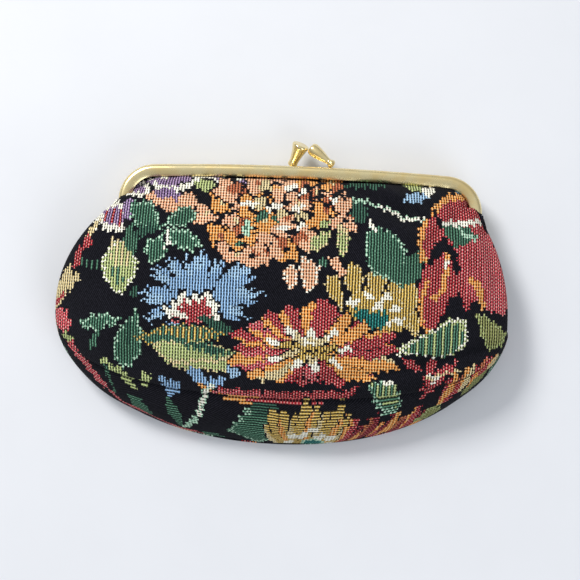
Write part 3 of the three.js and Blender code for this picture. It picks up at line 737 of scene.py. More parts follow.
def frame_line(leg_end, corner_steps=28, crown_steps=60, leg_steps=24):
    """The frame's outer line from the right leg's end over the bar to the left leg's end.
    Each row is x, y and the direction of the outward normal."""
    leg_top_x = CORNER_X + CORNER_RADIUS * math.cos(LEG_SPLAY)
    leg_top_y = CORNER_Y + CORNER_RADIUS * math.sin(LEG_SPLAY)
    drop = np.linspace(leg_top_y - leg_end, 0, leg_steps, endpoint=False)
    leg_x = leg_top_x + drop * math.tan(LEG_SPLAY)
    leg = np.stack([leg_x, leg_top_y - drop, np.full_like(drop, LEG_SPLAY)], 1)
    corner_turns = np.linspace(LEG_SPLAY, math.pi / 2 - CROWN_HALF_ANGLE, corner_steps)
    crown_turns = math.pi / 2 + np.linspace(-CROWN_HALF_ANGLE, CROWN_HALF_ANGLE, crown_steps)[1:-1]
    crown = arc_rows(crown_turns, CROWN_RADIUS, 0.0, BAR_TOP - CROWN_RADIUS)
    right = np.concatenate([leg, arc_rows(corner_turns, CORNER_RADIUS, CORNER_X, CORNER_Y)])
    left = (right * (-1, 1, -1) + (0, 0, math.pi))[::-1]
    return np.concatenate([right, crown, left])


def inwards(line, depth, z):
    """Points at a depth inwards from the frame line, at a height."""
    x = line[..., 0] - depth * np.cos(line[..., 2])
    y = line[..., 1] - depth * np.sin(line[..., 2])
    return np.stack([x, y, np.broadcast_to(z, x.shape)], -1)


def lip_half_width(y):
    """Half the distance between the channel's inner lips, at a height up the frame."""
    radius = CORNER_RADIUS - CHANNEL_WIDTH
    rise = np.clip(y - CORNER_Y, 0, radius)
    return CORNER_X + np.sqrt(radius**2 - rise**2)


# ---------------------------------------------------------------- bag surfaces


def shoulder_width(y, side):
    """The bag's half-width above its widest line, left (side -1) or right (side 1)."""
    shoulder = np.where(side < 0, LEFT_SHOULDER, RIGHT_SHOULDER)
    bulge = BAG_HALF_WIDTH * np.sqrt(1 - np.clip((y - WIDEST_Y) / shoulder, 0, 1) ** 2)
    inside_lip = lip_half_width(y) - LIP_CLEARANCE - side * BAG_MIDDLE
    return np.where(y < CORNER_START, bulge, np.minimum(bulge, inside_lip))


def edge_height(y):
    """The height of the front cloth's edge: the seam, the sides and the bar."""
    low = SIDE_EDGE_Z + (FRONT_SEAM_Z - SIDE_EDGE_Z) * (WIDEST_Y - y) / FRONT_SEAM_DROP
    near_bar = power((y - CORNER_START) / (PANEL_TOP - CORNER_START), 2)
    high = SIDE_EDGE_Z + (BAR_EDGE_Z - SIDE_EDGE_Z) * near_bar
    return np.where(y <= WIDEST_Y, low, high)


def crown_height(y):
    """The height of the dome's middle line between the bar and the crown."""
    away = power((PANEL_TOP - y) / (PANEL_TOP - CROWN_Y), 0.6)
    start = BAR_EDGE_Z + BAR_RISE
    return start + (CROWN_Z - start) * np.sin(np.pi / 2 * np.clip(away, 0, 1))


def dome_rise(radius):
    """The dome's height over its edge, as a share, at a radius that is 1 on the edge."""
    return power(1 - np.abs(radius) ** DOME_POWER, DOME_SHARPNESS)


def seam_radius(share, down, exponent):
    """How far out a point is, where 1 is on the seam."""
    return (np.abs(share) ** exponent + down**exponent) ** (1 / exponent)


def crease(points, start, end, depth, width):
    """Presses a soft valley, or with a negative depth a ridge, into a surface along a line in plan."""
    start, end = np.array(start, float), np.array(end, float)
    along = end - start
    length = np.linalg.norm(along)
    offset = points[..., :2] - start
    share = (offset @ along) / length**2
    across = (offset[..., 1] * along[0] - offset[..., 0] * along[1]) / length
    fade = smooth(-0.12, 0.12, share) * (1 - smooth(0.75, 1.2, share))
    points[..., 2] -= depth * fade * np.exp(-((across / width) ** 2))


def widest_row():
    """Turns from side to side over the dome's widest row, and the row's line in section."""
    turns = np.linspace(-np.pi / 2, np.pi / 2, SAMPLES)
    return turns, np.stack([BAG_HALF_WIDTH * np.sin(turns), DOME_HEIGHT * dome_rise(np.sin(turns))], 1)


def dome(columns, rows_above, rows_below, inset):
    """The front panel's dome as a grid of points, from the bar down to the front seam."""
    turns, widest = widest_row()
    share = np.sin(even(turns, widest, columns))
    side = np.where(share < 0, -1.0, 1.0)
    dense = np.linspace(PANEL_TOP, WIDEST_Y, SAMPLES)
    y_above = even(dense, np.stack([dense, crown_height(dense)], 1), rows_above)[:, None] + 0 * share
    x_above = BAG_MIDDLE + (shoulder_width(y_above, side) - inset) * share
    base = edge_height(y_above)
    z_above = base + (crown_height(y_above) - inset - base) * dome_rise(share)
    turns = turns[turns >= 0]
    rise = (CROWN_Z - FRONT_SEAM_Z) * dome_rise(np.sin(turns))
    meridian = np.stack([FRONT_SEAM_DROP * np.sin(turns), rise], 1)
    down = np.sin(even(turns, meridian, rows_below + 1)[1:])[:, None]
    reach = power(1 - np.abs(share) ** FRONT_SEAM_POWER, 1 / FRONT_SEAM_POWER)
    y_below = WIDEST_Y - (FRONT_SEAM_DROP - inset) * down * reach
    x_below = BAG_MIDDLE + (BAG_HALF_WIDTH - inset) * share + 0 * down
    base = edge_height(y_below)
    radius = seam_radius(share, down * reach, FRONT_SEAM_POWER)
    z_below = base + (CROWN_Z - inset - base) * dome_rise(np.minimum(radius, 1))
    above = np.stack([x_above, y_above, z_above], -1)
    return np.concatenate([above, np.stack([x_below, y_below, z_below], -1)]), share


def cloth_of_dome(points, share):
    """Cloth coordinates: along the widest row across, and along the middle meridian down."""
    turns, widest = widest_row()
    gone = distance_along(widest)
    across = np.interp(share, np.sin(turns), gone - gone[-1] / 2)
    narrowing = np.abs(points[..., 0] - BAG_MIDDLE) / np.maximum(BAG_HALF_WIDTH * np.abs(share), 1e-6)
    narrowing = np.where(np.abs(share) < 1e-3, 1.0, narrowing)
    y = np.linspace(PANEL_TOP, WIDEST_Y - FRONT_SEAM_DROP, FINE_SAMPLES)
    down = np.clip((WIDEST_Y - y) / FRONT_SEAM_DROP, 0, 1)
    below = edge_height(y) + (CROWN_Z - edge_height(y)) * dome_rise(down)
    meridian = distance_along(np.stack([y, np.where(y > WIDEST_Y, crown_height(y), below)], 1))
    along = -np.interp(-points[..., 1], -y, meridian)
    return np.stack([across * narrowing, along], -1)


# Creases of the front panel: start, end, depth and width. Folds fan out of the frame's two
# corners, and the cloth is slack above the foot.
CREASES = [
    ((-49, 41), (-30, 29), 2.2, 1.9), ((-43, 43), (-35, 24), -1.2, 2.4), ((-38, 42), (-25, 33), 1.2, 1.5),
    ((-50, 36), (-44, 20), -0.9, 2.4), ((-53, 33), (-46, 16), 1.0, 1.8), ((4, 44), (35, 30), 2.1, 2.6),
    ((12, 46), (37, 35), -1.2, 2.2), ((26, 42), (40, 33), 1.0, 1.5), ((49, 37), (35, 24), 1.5, 2.2),
    ((52, 33), (57, 10), 1.2, 2.0), ((38, 38), (46, 18), -0.8, 3.4), ((-50, -10), (-24, -15), 0.6, 2.0),
    ((58, -3), (30, -11), 1.4, 1.9), ((30, -11), (4, -15), 0.9, 1.7),
]


def shape_dome(points):
    """The dome's creases, its gathers at the bar and its unevenness."""
    x, y = points[..., 0].copy(), points[..., 1].copy()
    for start, end, depth, width in CREASES:
        crease(points, start, end, depth, width)
    edge = smooth(0.2, 6, points[..., 2] - edge_height(y) + 0.3)
    gathers = 0.0
    for wave, (length, size) in enumerate(((7.3, 0.34), (4.4, 0.18), (11.6, 0.32))):
        gathers = gathers + size * np.sin(2 * np.pi * (x + 0.3 * (y - 40)) / length + 1.7 * wave)
    near_bar = np.exp(-(((PANEL_TOP - y) - 4.5) / 5.5) ** 2)
    points[..., 2] += gathers * near_bar * smooth(0, 2, PANEL_TOP - y)
    swell = 0.35 * np.sin(x / 9.1 + 0.8) * np.cos(y / 7.3) + 0.22 * np.sin(x / 4.7 - y / 5.9)
    points[..., 2] += swell * edge


def side_strip(edge_points, in_slot, outside, mirror=1.0):
    """Cloth from an edge of the bag into the frame's channel: under the overhang beside the legs,
    and straight in at the bar. in_slot and outside are heights over or under the parting plane."""
    line = frame_line(LEG_END, corner_steps=80, crown_steps=240, leg_steps=90)[::-1]
    lip = inwards(line, CHANNEL_WIDTH, 0.0)
    rows = []
    for point in edge_points:
        nearest = np.argmin(np.hypot(lip[:, 0] - point[0], lip[:, 1] - max(point[1], LEG_END)))
        x, y, angle = line[nearest]
        outward = np.array([math.cos(angle), math.sin(angle)])
        overhang = (point[:2] - lip[nearest, :2]) @ outward
        over = float(smooth(0.0, 3.0, overhang))
        edge_depth = CHANNEL_WIDTH - overhang
        away = abs(point[2] - HINGE_Z)
        far = 0.5 * (SLOT_DEPTH + edge_depth)
        # Each point's depth and level: round the lip and under the overhang, or straight in.
        wide = [
            (SLOT_DEPTH, in_slot), (CHANNEL_WIDTH + 0.5, in_slot + 0.1), (CHANNEL_WIDTH + 1.3, in_slot + 1.2),
            (CHANNEL_WIDTH + 0.6, outside - 0.3), (1.0, outside), (0.5 * edge_depth, outside),
            (edge_depth + 1.2, min(away - 0.5, outside + 0.2)),
        ]
        close = [
            (SLOT_DEPTH, in_slot), (SLOT_DEPTH + 0.4, in_slot), (far - 0.3, in_slot), (far, in_slot + 0.05),
            (far + 0.3, in_slot + 0.1), (0.3 * far + 0.7 * edge_depth, 0.7 * in_slot + 0.3 * away),
            (edge_depth - 0.1, away - 0.25),
        ]
        depth, level = (over * np.array(wide) + (1 - over) * np.array(close)).T
        row = np.stack([x - depth * outward[0], y - depth * outward[1], HINGE_Z + mirror * level], 1)
        rows.append(np.concatenate([row, [point]]))
    return catmull_rows(np.array(rows), 3)[:, ::-1]


def catmull_rows(rows, steps):
    """Each row's points rounded into a smooth line, with steps points to each span."""
    before = np.concatenate([rows[:, :1], rows[:, :-2]], 1)
    start, end = rows[:, :-1], rows[:, 1:]
    after = np.concatenate([rows[:, 2:], rows[:, -1:]], 1)
    pieces = []
    for step in range(steps):
        t = step / steps
        quadratic = (2 * before - 5 * start + 4 * end - after) * t**2
        cubic = (3 * start - before - 3 * end + after) * t**3
        pieces.append(0.5 * (2 * start + (end - before) * t + quadratic + cubic))
    fine = np.stack(pieces, 2).reshape(rows.shape[0], -1, rows.shape[2])
    return np.concatenate([fine, rows[:, -1:]], 1)


# ---------------------------------------------------------------- meshes


class Surface:
    """Points, their cloth coordinates and their place on the pattern, gathered grid by grid."""

    def __init__(self):
        self.points, self.cloth, self.plan, self.faces = [], [], [], []
        self.count = 0

    def grid(self, points, cloth, plan):
        rows, columns = points.shape[:2]
        self.points.append(points.reshape(-1, 3))
        self.cloth.append(cloth.reshape(-1, 2))
        self.plan.append(plan.reshape(-1, 2))
        self.faces.append(grid_faces(self.count + np.arange(rows * columns).reshape(rows, columns)))
        self.count += rows * columns

    def mesh(self, name, thickness, face_down=False):
        faces = np.concatenate(self.faces)
        mesh = new_mesh(name, np.concatenate(self.points), faces[:, ::-1] if face_down else faces)
        store(mesh, "cloth", "FLOAT2", "POINT", np.concatenate(self.cloth))
        store(mesh, "plan", "FLOAT2", "POINT", np.concatenate(self.plan))
        obj = link(name, mesh)
        obj.modifiers.new("weld", "WELD").merge_threshold = CLOTH_WELD * MM
        if thickness:
            solid = obj.modifiers.new("thickness", "SOLIDIFY")
            solid.thickness = thickness * MM
            solid.offset = -1
        return apply_modifiers(obj)


def grid_faces(index):
    """The four corners of each face of a grid of point numbers."""
    corners = (index[:-1, :-1], index[1:, :-1], index[1:, 1:], index[:-1, 1:])
    return np.stack([corner.ravel() for corner in corners], 1)


def new_mesh(name, points, faces):
    """A smooth-shaded mesh of quads from millimetre points."""
    mesh = bpy.data.meshes.new(name)
    placed = points * MM + SHIFT
    mesh.vertices.add(len(placed))
    mesh.vertices.foreach_set("co", placed.astype(np.float32).ravel())
    mesh.loops.add(faces.size)
    mesh.loops.foreach_set("vertex_index", faces.astype(np.int32).ravel())
    mesh.polygons.add(len(faces))
    mesh.polygons.foreach_set("loop_start", np.arange(0, faces.size, faces.shape[1], dtype=np.int32))
    mesh.update(calc_edges=True)
    mesh.validate()
    mesh.polygons.foreach_set("use_smooth", np.ones(len(mesh.polygons), bool))
    return mesh


def link(name, data):
    obj = bpy.data.objects.new(name, data)
    bpy.context.scene.collection.objects.link(obj)
    return obj


def tube(name, rings):
    """An object from rings of points along a line, each ring closed and both ends open."""
    index = np.arange(rings.shape[0] * rings.shape[1]).reshape(rings.shape[:2])
    faces = grid_faces(np.concatenate([index, index[:, :1]], 1))
    return link(name, new_mesh(name, rings.reshape(-1, 3), faces))


def store(mesh, name, kind, domain, values):
    attribute = mesh.attributes.new(name, kind, domain)
    field = {"FLOAT2": "vector", "FLOAT_COLOR": "color"}[kind]
    attribute.data.foreach_set(field, np.ascontiguousarray(values, dtype=np.float32).ravel())


def apply_modifiers(obj):
    graph = bpy.context.evaluated_depsgraph_get()
    evaluated = obj.evaluated_get(graph)
    mesh = bpy.data.meshes.new_from_object(evaluated, preserve_all_data_layers=True, depsgraph=graph)
    obj.modifiers.clear()
    old = obj.data
    obj.data = mesh
    bpy.data.meshes.remove(old)
    mesh.name = obj.name
    return obj


def face_means(mesh, name):
    """The mean of a point attribute of two values, over each face."""
    values = np.zeros(len(mesh.vertices) * 2, np.float32)
    starts = np.zeros(len(mesh.polygons), np.int32)
    totals = np.zeros(len(mesh.polygons), np.int32)
    corners = np.zeros(len(mesh.loops), np.int32)
    mesh.attributes[name].data.foreach_get("vector", values)
    mesh.polygons.foreach_get("loop_start", starts)
    mesh.polygons.foreach_get("loop_total", totals)
    mesh.loops.foreach_get("vertex_index", corners)
    return np.add.reduceat(values.reshape(-1, 2)[corners], starts, axis=0) / totals[:, None]


def weave(obj, patterns, seed):
    """Paints a cloth's thread cells with patterns, and keeps the yarns as colours of its faces."""
    mesh = obj.data
    cloth = face_means(mesh, "cloth")
    plan = face_means(mesh, "plan")
    column = np.floor(cloth[:, 0] / COLUMN_PITCH).astype(np.int64)
    row = np.floor(cloth[:, 1] / ROW_PITCH).astype(np.int64)
    column -= column.min()
    row -= row.min()
    per_column = row.max() + 1
    cells, cell_of = np.unique(column * per_column + row, return_inverse=True)
    x, y = (np.bincount(cell_of, plan[:, axis]) / np.bincount(cell_of) for axis in (0, 1))
    painted = Cloth(x, y, cells // per_column, cells % per_column, seed)
    for pattern in patterns:
        pattern(painted)
    floats = np.concatenate([painted.float, painted.figure[:, None]], 1)
    ticks = np.concatenate([painted.tick, painted.bridge[:, None]], 1)
    store(mesh, "yarn_float", "FLOAT_COLOR", "FACE", floats[cell_of])
    store(mesh, "yarn_tick", "FLOAT_COLOR", "FACE", ticks[cell_of])
    mesh.attributes.remove(mesh.attributes["plan"])
    mesh.materials.append(tapestry)


def close_ends(obj):
    """Fills open ends, and makes all faces point out."""
    work = bmesh.new()
    work.from_mesh(obj.data)
    open_edges = [edge for edge in work.edges if len(edge.link_faces) == 1]
    if open_edges:
        bmesh.ops.holes_fill(work, edges=open_edges, sides=0)
    bmesh.ops.recalc_face_normals(work, faces=work.faces)
    work.to_mesh(obj.data)
    work.free()
    return obj


# ---------------------------------------------------------------- materials


class Nodes:
    """The node tree of a material or world, with short names for what is used most."""

    def __init__(self, owner):
        owner.use_nodes = True
        self.tree = owner.node_tree

    def feed(self, socket, value):
        if isinstance(value, bpy.types.NodeSocket):
            self.tree.links.new(value, socket)
        elif socket.type == "RGBA":
            socket.default_value = (*value, 1.0)
        else:
            socket.default_value = value

    def node(self, kind, inputs=None, **settings):
        node = self.tree.nodes.new(kind)
        for key, value in settings.items():
            setattr(node, key, value)
        for key, value in (inputs or {}).items():
            self.feed(node.inputs[key], value)
        return node

    def math(self, operation, *values):
        return self.node("ShaderNodeMath", dict(enumerate(values)), operation=operation).outputs[0]

    def plus(self, first, second):
        return self.math("ADD", first, second)

    def times(self, first, second):
        return self.math("MULTIPLY", first, second)

    def off_middle(self, value):
        """How far a repeating value is from the middle of its repeat, 0 to 0.5."""
        return self.math("ABSOLUTE", self.math("SUBTRACT", self.math("FRACT", value), 0.5))

    def range(self, value, low, high, to_low=0.0, to_high=1.0):
        inputs = dict(enumerate((value, low, high, to_low, to_high)))
        return self.node("ShaderNodeMapRange", inputs, interpolation_type="SMOOTHSTEP").outputs[0]

    def mix(self, share, first, second):
        return self.node("ShaderNodeMix", {0: share, 6: first, 7: second}, data_type="RGBA").outputs[2]

    def noise(self, vector, scale, detail=2.0, roughness=0.5):
        inputs = {"Vector": vector, "Scale": scale, "Detail": detail, "Roughness": roughness}
        return self.node("ShaderNodeTexNoise", inputs).outputs["Fac"]

    def attribute(self, name):
        return self.node("ShaderNodeAttribute", attribute_name=name).outputs

    def place(self):
        return self.node("ShaderNodeTexCoord").outputs["Object"]

    def axes(self, vector):
        return self.node("ShaderNodeSeparateXYZ", {0: vector}).outputs

    def shade(self, height, depth, **values):
        """Sets the shader's sockets, and a bump of a depth in metres."""
        shader = self.tree.nodes["Principled BSDF"]
        for key, value in values.items():
            self.feed(shader.inputs[key.replace("_", " ")], value)
        bump = self.node("ShaderNodeBump", {"Strength": 1.0, "Distance": depth, "Height": height})
        self.feed(shader.inputs["Normal"], bump.outputs["Normal"])


def tapestry_material():
    """Jacquard: floats along thread columns, ticks across them, dark gaps, and a twill ground."""
    material = bpy.data.materials.new("jacquard")
    n = Nodes(material)
    cloth = n.attribute("cloth")["Vector"]
    u, v, _ = n.axes(cloth)
    floats = n.attribute("yarn_float")
    ticks = n.attribute("yarn_tick")
    is_figure = n.math("GREATER_THAN", floats["Alpha"], 0.2)
    wander = n.times(n.math("SUBTRACT", n.noise(cloth, 0.5), 0.5), 0.5)
    column = n.plus(n.math("DIVIDE", u, COLUMN_PITCH), wander)
    half_thread = n.times(floats["Alpha"], 0.5)
    thread = n.range(n.math("SUBTRACT", n.off_middle(column), half_thread), 0.05, -0.05)
    # Picks cross the columns: level where they bridge the gaps, and a half step up on every
    # other column elsewhere.
    odd = n.math("MODULO", n.math("ABSOLUTE", n.math("FLOOR", column)), 2.0)
    stepped = n.times(odd, n.math("LESS_THAN", ticks["Alpha"], 0.6))
    rows = n.plus(n.math("DIVIDE", v, TICK_PITCH), wander)
    tick = n.range(n.off_middle(n.plus(rows, n.times(stepped, 0.5))), 0.32, 0.12)
    bridging = n.range(n.off_middle(rows), 0.22, 0.11)
    speckle = n.noise(cloth, 1.5, 2.0, 0.7)
    tick_share = n.times(tick, n.range(speckle, 0.34, 0.62, 0.25, 1.0))
    on_thread = n.mix(tick_share, floats["Color"], ticks["Color"])
    between = n.mix(0.3, floats["Color"], ticks["Color"])
    bridge = n.times(bridging, ticks["Alpha"])
    # In the gaps: the dark ground, painted darker as shade, with the float's colour in painted shade; picks
    # that bridge a gap keep their colour.
    in_gap = n.mix(bridge, n.mix(FLOAT_TRACE_IN_SHADED_GAP, GAP_GROUND_AND_SHADE, floats["Color"]), between)
    figure = n.mix(thread, in_gap, on_thread)
    # The ground: a fine twill on the same grid, its raised ribs painted lighter as a painted highlight.
    diagonal = n.plus(n.math("DIVIDE", u, GROUND_TWILL), n.math("DIVIDE", v, TWILL_RISE))
    rib = n.range(n.off_middle(diagonal), 0.42, 0.12)
    ground = n.mix(n.times(rib, n.range(speckle, 0.3, 0.65, 0.25, 1.0)), GROUND_DARK, GROUND_RIB_HIGHLIGHT)
    colour = n.mix(is_figure, ground, figure)
    tone = n.range(n.noise(cloth, 0.11, 3.0, 0.6), 0.3, 0.7, 0.86, 1.06)
    toned = n.node("ShaderNodeHueSaturation", {"Value": tone, "Color": colour}).outputs["Color"]
    raised = n.math("MAXIMUM", thread, n.times(bridge, 0.7))
    of_figure = n.times(raised, n.plus(0.75, n.times(tick, 0.25)))
    heights = {0: is_figure, 2: n.times(rib, 0.45), 3: of_figure}
    height = n.node("ShaderNodeMix", heights, data_type="FLOAT").outputs[0]
    fuzz = n.times(n.noise(cloth, 7.0, 2.0, 0.8), 0.3)
    n.shade(
        n.plus(height, fuzz), 0.00034, Base_Color=toned, Roughness=n.range(thread, 0, 1, 0.95, 0.75),
        Sheen_Weight=0.02, Sheen_Roughness=0.45, Specular_IOR_Level=0.06,
    )
    return material


def lining_material():
    """A plain-woven cloth: two thread directions, with uneven threads. Its colour follows the threads'
    height: raised crossings are painted lighter as a painted highlight.
    """
    material = bpy.data.materials.new("lining_cloth")
    n = Nodes(material)
    cloth = n.attribute("cloth")["Vector"]
    u, v, _ = n.axes(cloth)
    over_under = n.times(*(n.math("SINE", n.times(axis, 2 * math.pi / LINING_PITCH)) for axis in (u, v)))
    uneven = n.noise(cloth, 1.4, 3.0, 0.6)
    share = n.plus(n.times(n.range(over_under, -1, 1), 0.5), n.times(uneven, 0.5))
    n.shade(
        share, 0.00006, Base_Color=n.mix(share, LINING_DARK, LINING_HIGHLIGHT_AND_TONE),
        Roughness=n.range(uneven, 0.3, 0.7, 0.44, 0.56), Sheen_Weight=0.25, Sheen_Roughness=0.4,
    )
    return material


def brass_material(name, roughness):
    """Brass plate, polished along its length, with fine scratches, slight tarnish and worn spots."""
    material = bpy.data.materials.new(name)
    n = Nodes(material)
    place = n.place()
    stretch = n.node("ShaderNodeMapping", {"Scale": (0.08, 1.0, 1.0), "Vector": place})
    scratches = n.noise(stretch.outputs[0], 5200.0, 3.0, 0.7)
    cloudy = n.noise(place, 190.0, 4.0, 0.6)
    spots = n.range(n.noise(place, 700.0), 0.68, 0.78)
    plate = n.mix(n.range(cloudy, 0.35, 0.7), BRASS_LIGHT, BRASS_DEEP)
    colour = n.mix(n.times(spots, 0.25), plate, BRASS_TARNISH)
    rough = n.plus(n.range(cloudy, 0.3, 0.7, roughness - 0.05, roughness + 0.07), n.times(spots, 0.2))
    height = n.plus(n.times(scratches, 0.15), n.times(cloudy, 0.5))
    n.shade(height, 0.000012, Base_Color=colour, Metallic=1.0, Roughness=rough)
    return material


def grainy_material(name, grain, dark, light, roughness, depth):
    """A grain of two colours. grain is its noise's scale, detail and roughness."""
    material = bpy.data.materials.new(name)
    n = Nodes(material)
    height = n.noise(n.place(), *grain)
    n.shade(height, depth, Base_Color=n.mix(height, dark, light), Roughness=roughness)
    return material


# ---------------------------------------------------------------- cloth pieces


def boundary_of(grid, last_row):
    """A grid's values on its edge, from the left side at last_row up over the bar and down the right."""
    return np.concatenate([grid[last_row:0:-1, 0], grid[0], grid[1 : last_row + 1, -1]])


def outward_offsets(edge, strip):
    """Pattern or cloth coordinates that go on outwards from an edge along a strip."""
    tangent = np.gradient(edge, axis=0)
    normal = np.stack([-tangent[:, 1], tangent[:, 0]], 1)
    normal /= np.maximum(np.linalg.norm(normal, axis=1), 1e-6)[:, None]
    steps = np.linalg.norm(np.diff(strip, axis=1), axis=2)
    gone = np.concatenate([np.zeros((len(strip), 1)), np.cumsum(steps, 1)], 1)
    return edge[:, None] + gone[..., None] * normal[:, None]


def front_sheet(name, inset, columns, rows_above, rows_below, thickness):
    """The front panel, with its edges in the channel and its allowance at the seam."""
    points, share = dome(columns, rows_above, rows_below, inset)
    cloth = cloth_of_dome(points, share)
    shape_dome(points)
    surface = Surface()
    surface.grid(points, cloth, points[..., :2])
    # The part under the overhang, into the channel.
    edge = boundary_of(points, rows_above - 1)
    in_slot = FRONT_CHANNEL_Z + CHANNEL_DEPTH / 2 - HINGE_Z
    outside = FRONT_CHANNEL_Z + CHANNEL_DEPTH + 0.7 + inset * 0.2 - HINGE_Z
    strip = side_strip(edge, in_slot, outside)
    strip_cloth = outward_offsets(boundary_of(cloth, rows_above - 1), strip)
    surface.grid(strip, strip_cloth, outward_offsets(edge[:, :2], strip))
    # The seam allowance, turned in along the front seam.
    seam = points[-1]
    inward = (BAG_MIDDLE, BAG_CENTRE_Y, 0) - seam
    inward[:, 2] = 0
    inward /= np.linalg.norm(inward, axis=1)[:, None]
    turned_in = ((0, 0, 0), (0.35, 0.5, 0.6), (1.1, 0.75, 1.4), (2.6, 0.8, 2.9))
    allowance = np.stack([seam + inward * depth + (0, 0, -drop) for depth, drop, _ in turned_in])
    allowance_cloth = np.stack([cloth[-1] + (0, down) for _, _, down in turned_in])
    surface.grid(allowance, allowance_cloth, np.broadcast_to(seam[:, :2], allowance.shape[:2] + (2,)))
    return surface.mesh(name, thickness)


def seam_point(turn, offset, drop, exponent):
    """A point of a seam at a turn round the bag: 0 at the foot, 90 degrees each way at the sides."""
    across = np.sign(turn) * power(np.abs(np.sin(turn)), 2 / exponent)
    down = power(np.cos(turn), 2 / exponent)
    return BAG_MIDDLE + (BAG_HALF_WIDTH - offset) * across, WIDEST_Y - (drop - offset) * down


def gusset_sheet(name, inset, columns, rows, thickness):
    """The gusset between the two seams, with its ends turned in to the hinges."""
    dense = np.linspace(-GUSSET_REACH, GUSSET_REACH, FINE_SAMPLES)
    x, y = seam_point(dense, 0, 0.5 * (FRONT_SEAM_DROP + BACK_SEAM_DROP), FRONT_SEAM_POWER)
    middle_line = np.stack([x, y], 1)
    turn = even(dense, middle_line, columns)
    gone = distance_along(middle_line)
    around = np.interp(turn, dense, gone - gone[-1] / 2)
    down = np.linspace(0, 1, rows)[:, None]
    front_x, front_y = seam_point(turn, inset, FRONT_SEAM_DROP, FRONT_SEAM_POWER)
    back_x, back_y = seam_point(turn, 1.6 * inset, BACK_SEAM_DROP, BACK_SEAM_POWER)
    front_z = edge_height(front_y) - 0.3 - inset
    back_z = 1.0 + inset
    bow = (GUSSET_BOW + 0.5 * np.sin(around / 11.0)) * np.sin(np.pi * down)
    bow = bow + 0.25 * np.sin(around / 3.7) * np.sin(2 * np.pi * down)
    points = np.stack([
        front_x + (back_x - front_x) * down + 0.4 * bow * np.sin(turn),
        front_y + (back_y - front_y) * down - bow * np.cos(turn),
        front_z + (back_z - front_z) * down,
    ], -1)
    # Both edges turn in at the seams.
    inward = (BAG_MIDDLE, BAG_CENTRE_Y, 0) - points
    inward[..., 2] = 0
    inward /= np.linalg.norm(inward, axis=-1)[..., None]
    from_seam = np.minimum(down, 1 - down) * GUSSET_SPAN
    points += inward * (SEAM_TUCK * np.exp(-((from_seam / SEAM_TUCK_WIDTH) ** 2)))[..., None]
    height = down * GUSSET_CLOTH
    tangent = np.stack([np.gradient(front_x), np.gradient(front_y)], 1)
    normal = np.stack([tangent[:, 1], -tangent[:, 0]], 1)
    normal /= np.linalg.norm(normal, axis=1)[:, None]
    plan = np.stack([front_x, front_y], -1)[None] + 0.65 * height[..., None] * normal[None]
    cloth = np.stack([height + 0 * around, around + 0 * height], -1)
    surface = Surface()
    surface.grid(points, cloth, plan)
    for side, column in ((-1, 0), (1, -1)):
        # Each end runs on out and round, on a Bezier curve, to beside the hinge.
        end = points[:, column]
        level = HINGE_Z + (2.4 - 0.4 * inset) * (1 - 2 * down[:, 0])
        target = np.stack([np.full(rows, side * (GUSSET_END_X - inset)), np.full(rows, 1.0), level], 1)
        t = np.linspace(0, 1, 26)[:, None, None]
        out = end + (0, 3.0 - inset, 0)
        back = target + (side * 5.0, 2.2 - inset, 0)
        fold = (1 - t) ** 3 * end + 3 * t * (1 - t) ** 2 * out + 3 * t**2 * (1 - t) * back + t**3 * target
        steps = np.linalg.norm(np.diff(fold, axis=0), axis=2).mean(1)
        gone = np.concatenate([[0], np.cumsum(steps)])
        fold_cloth = cloth[:, column] + np.stack([0 * gone, side * gone], -1)[:, None]
        fold_plan = plan[:, column] + np.stack([0 * gone, gone], -1)[:, None]
        surface.grid(*(values[::side].transpose(1, 0, 2) for values in (fold, fold_cloth, fold_plan)))
    return surface.mesh(name, thickness)


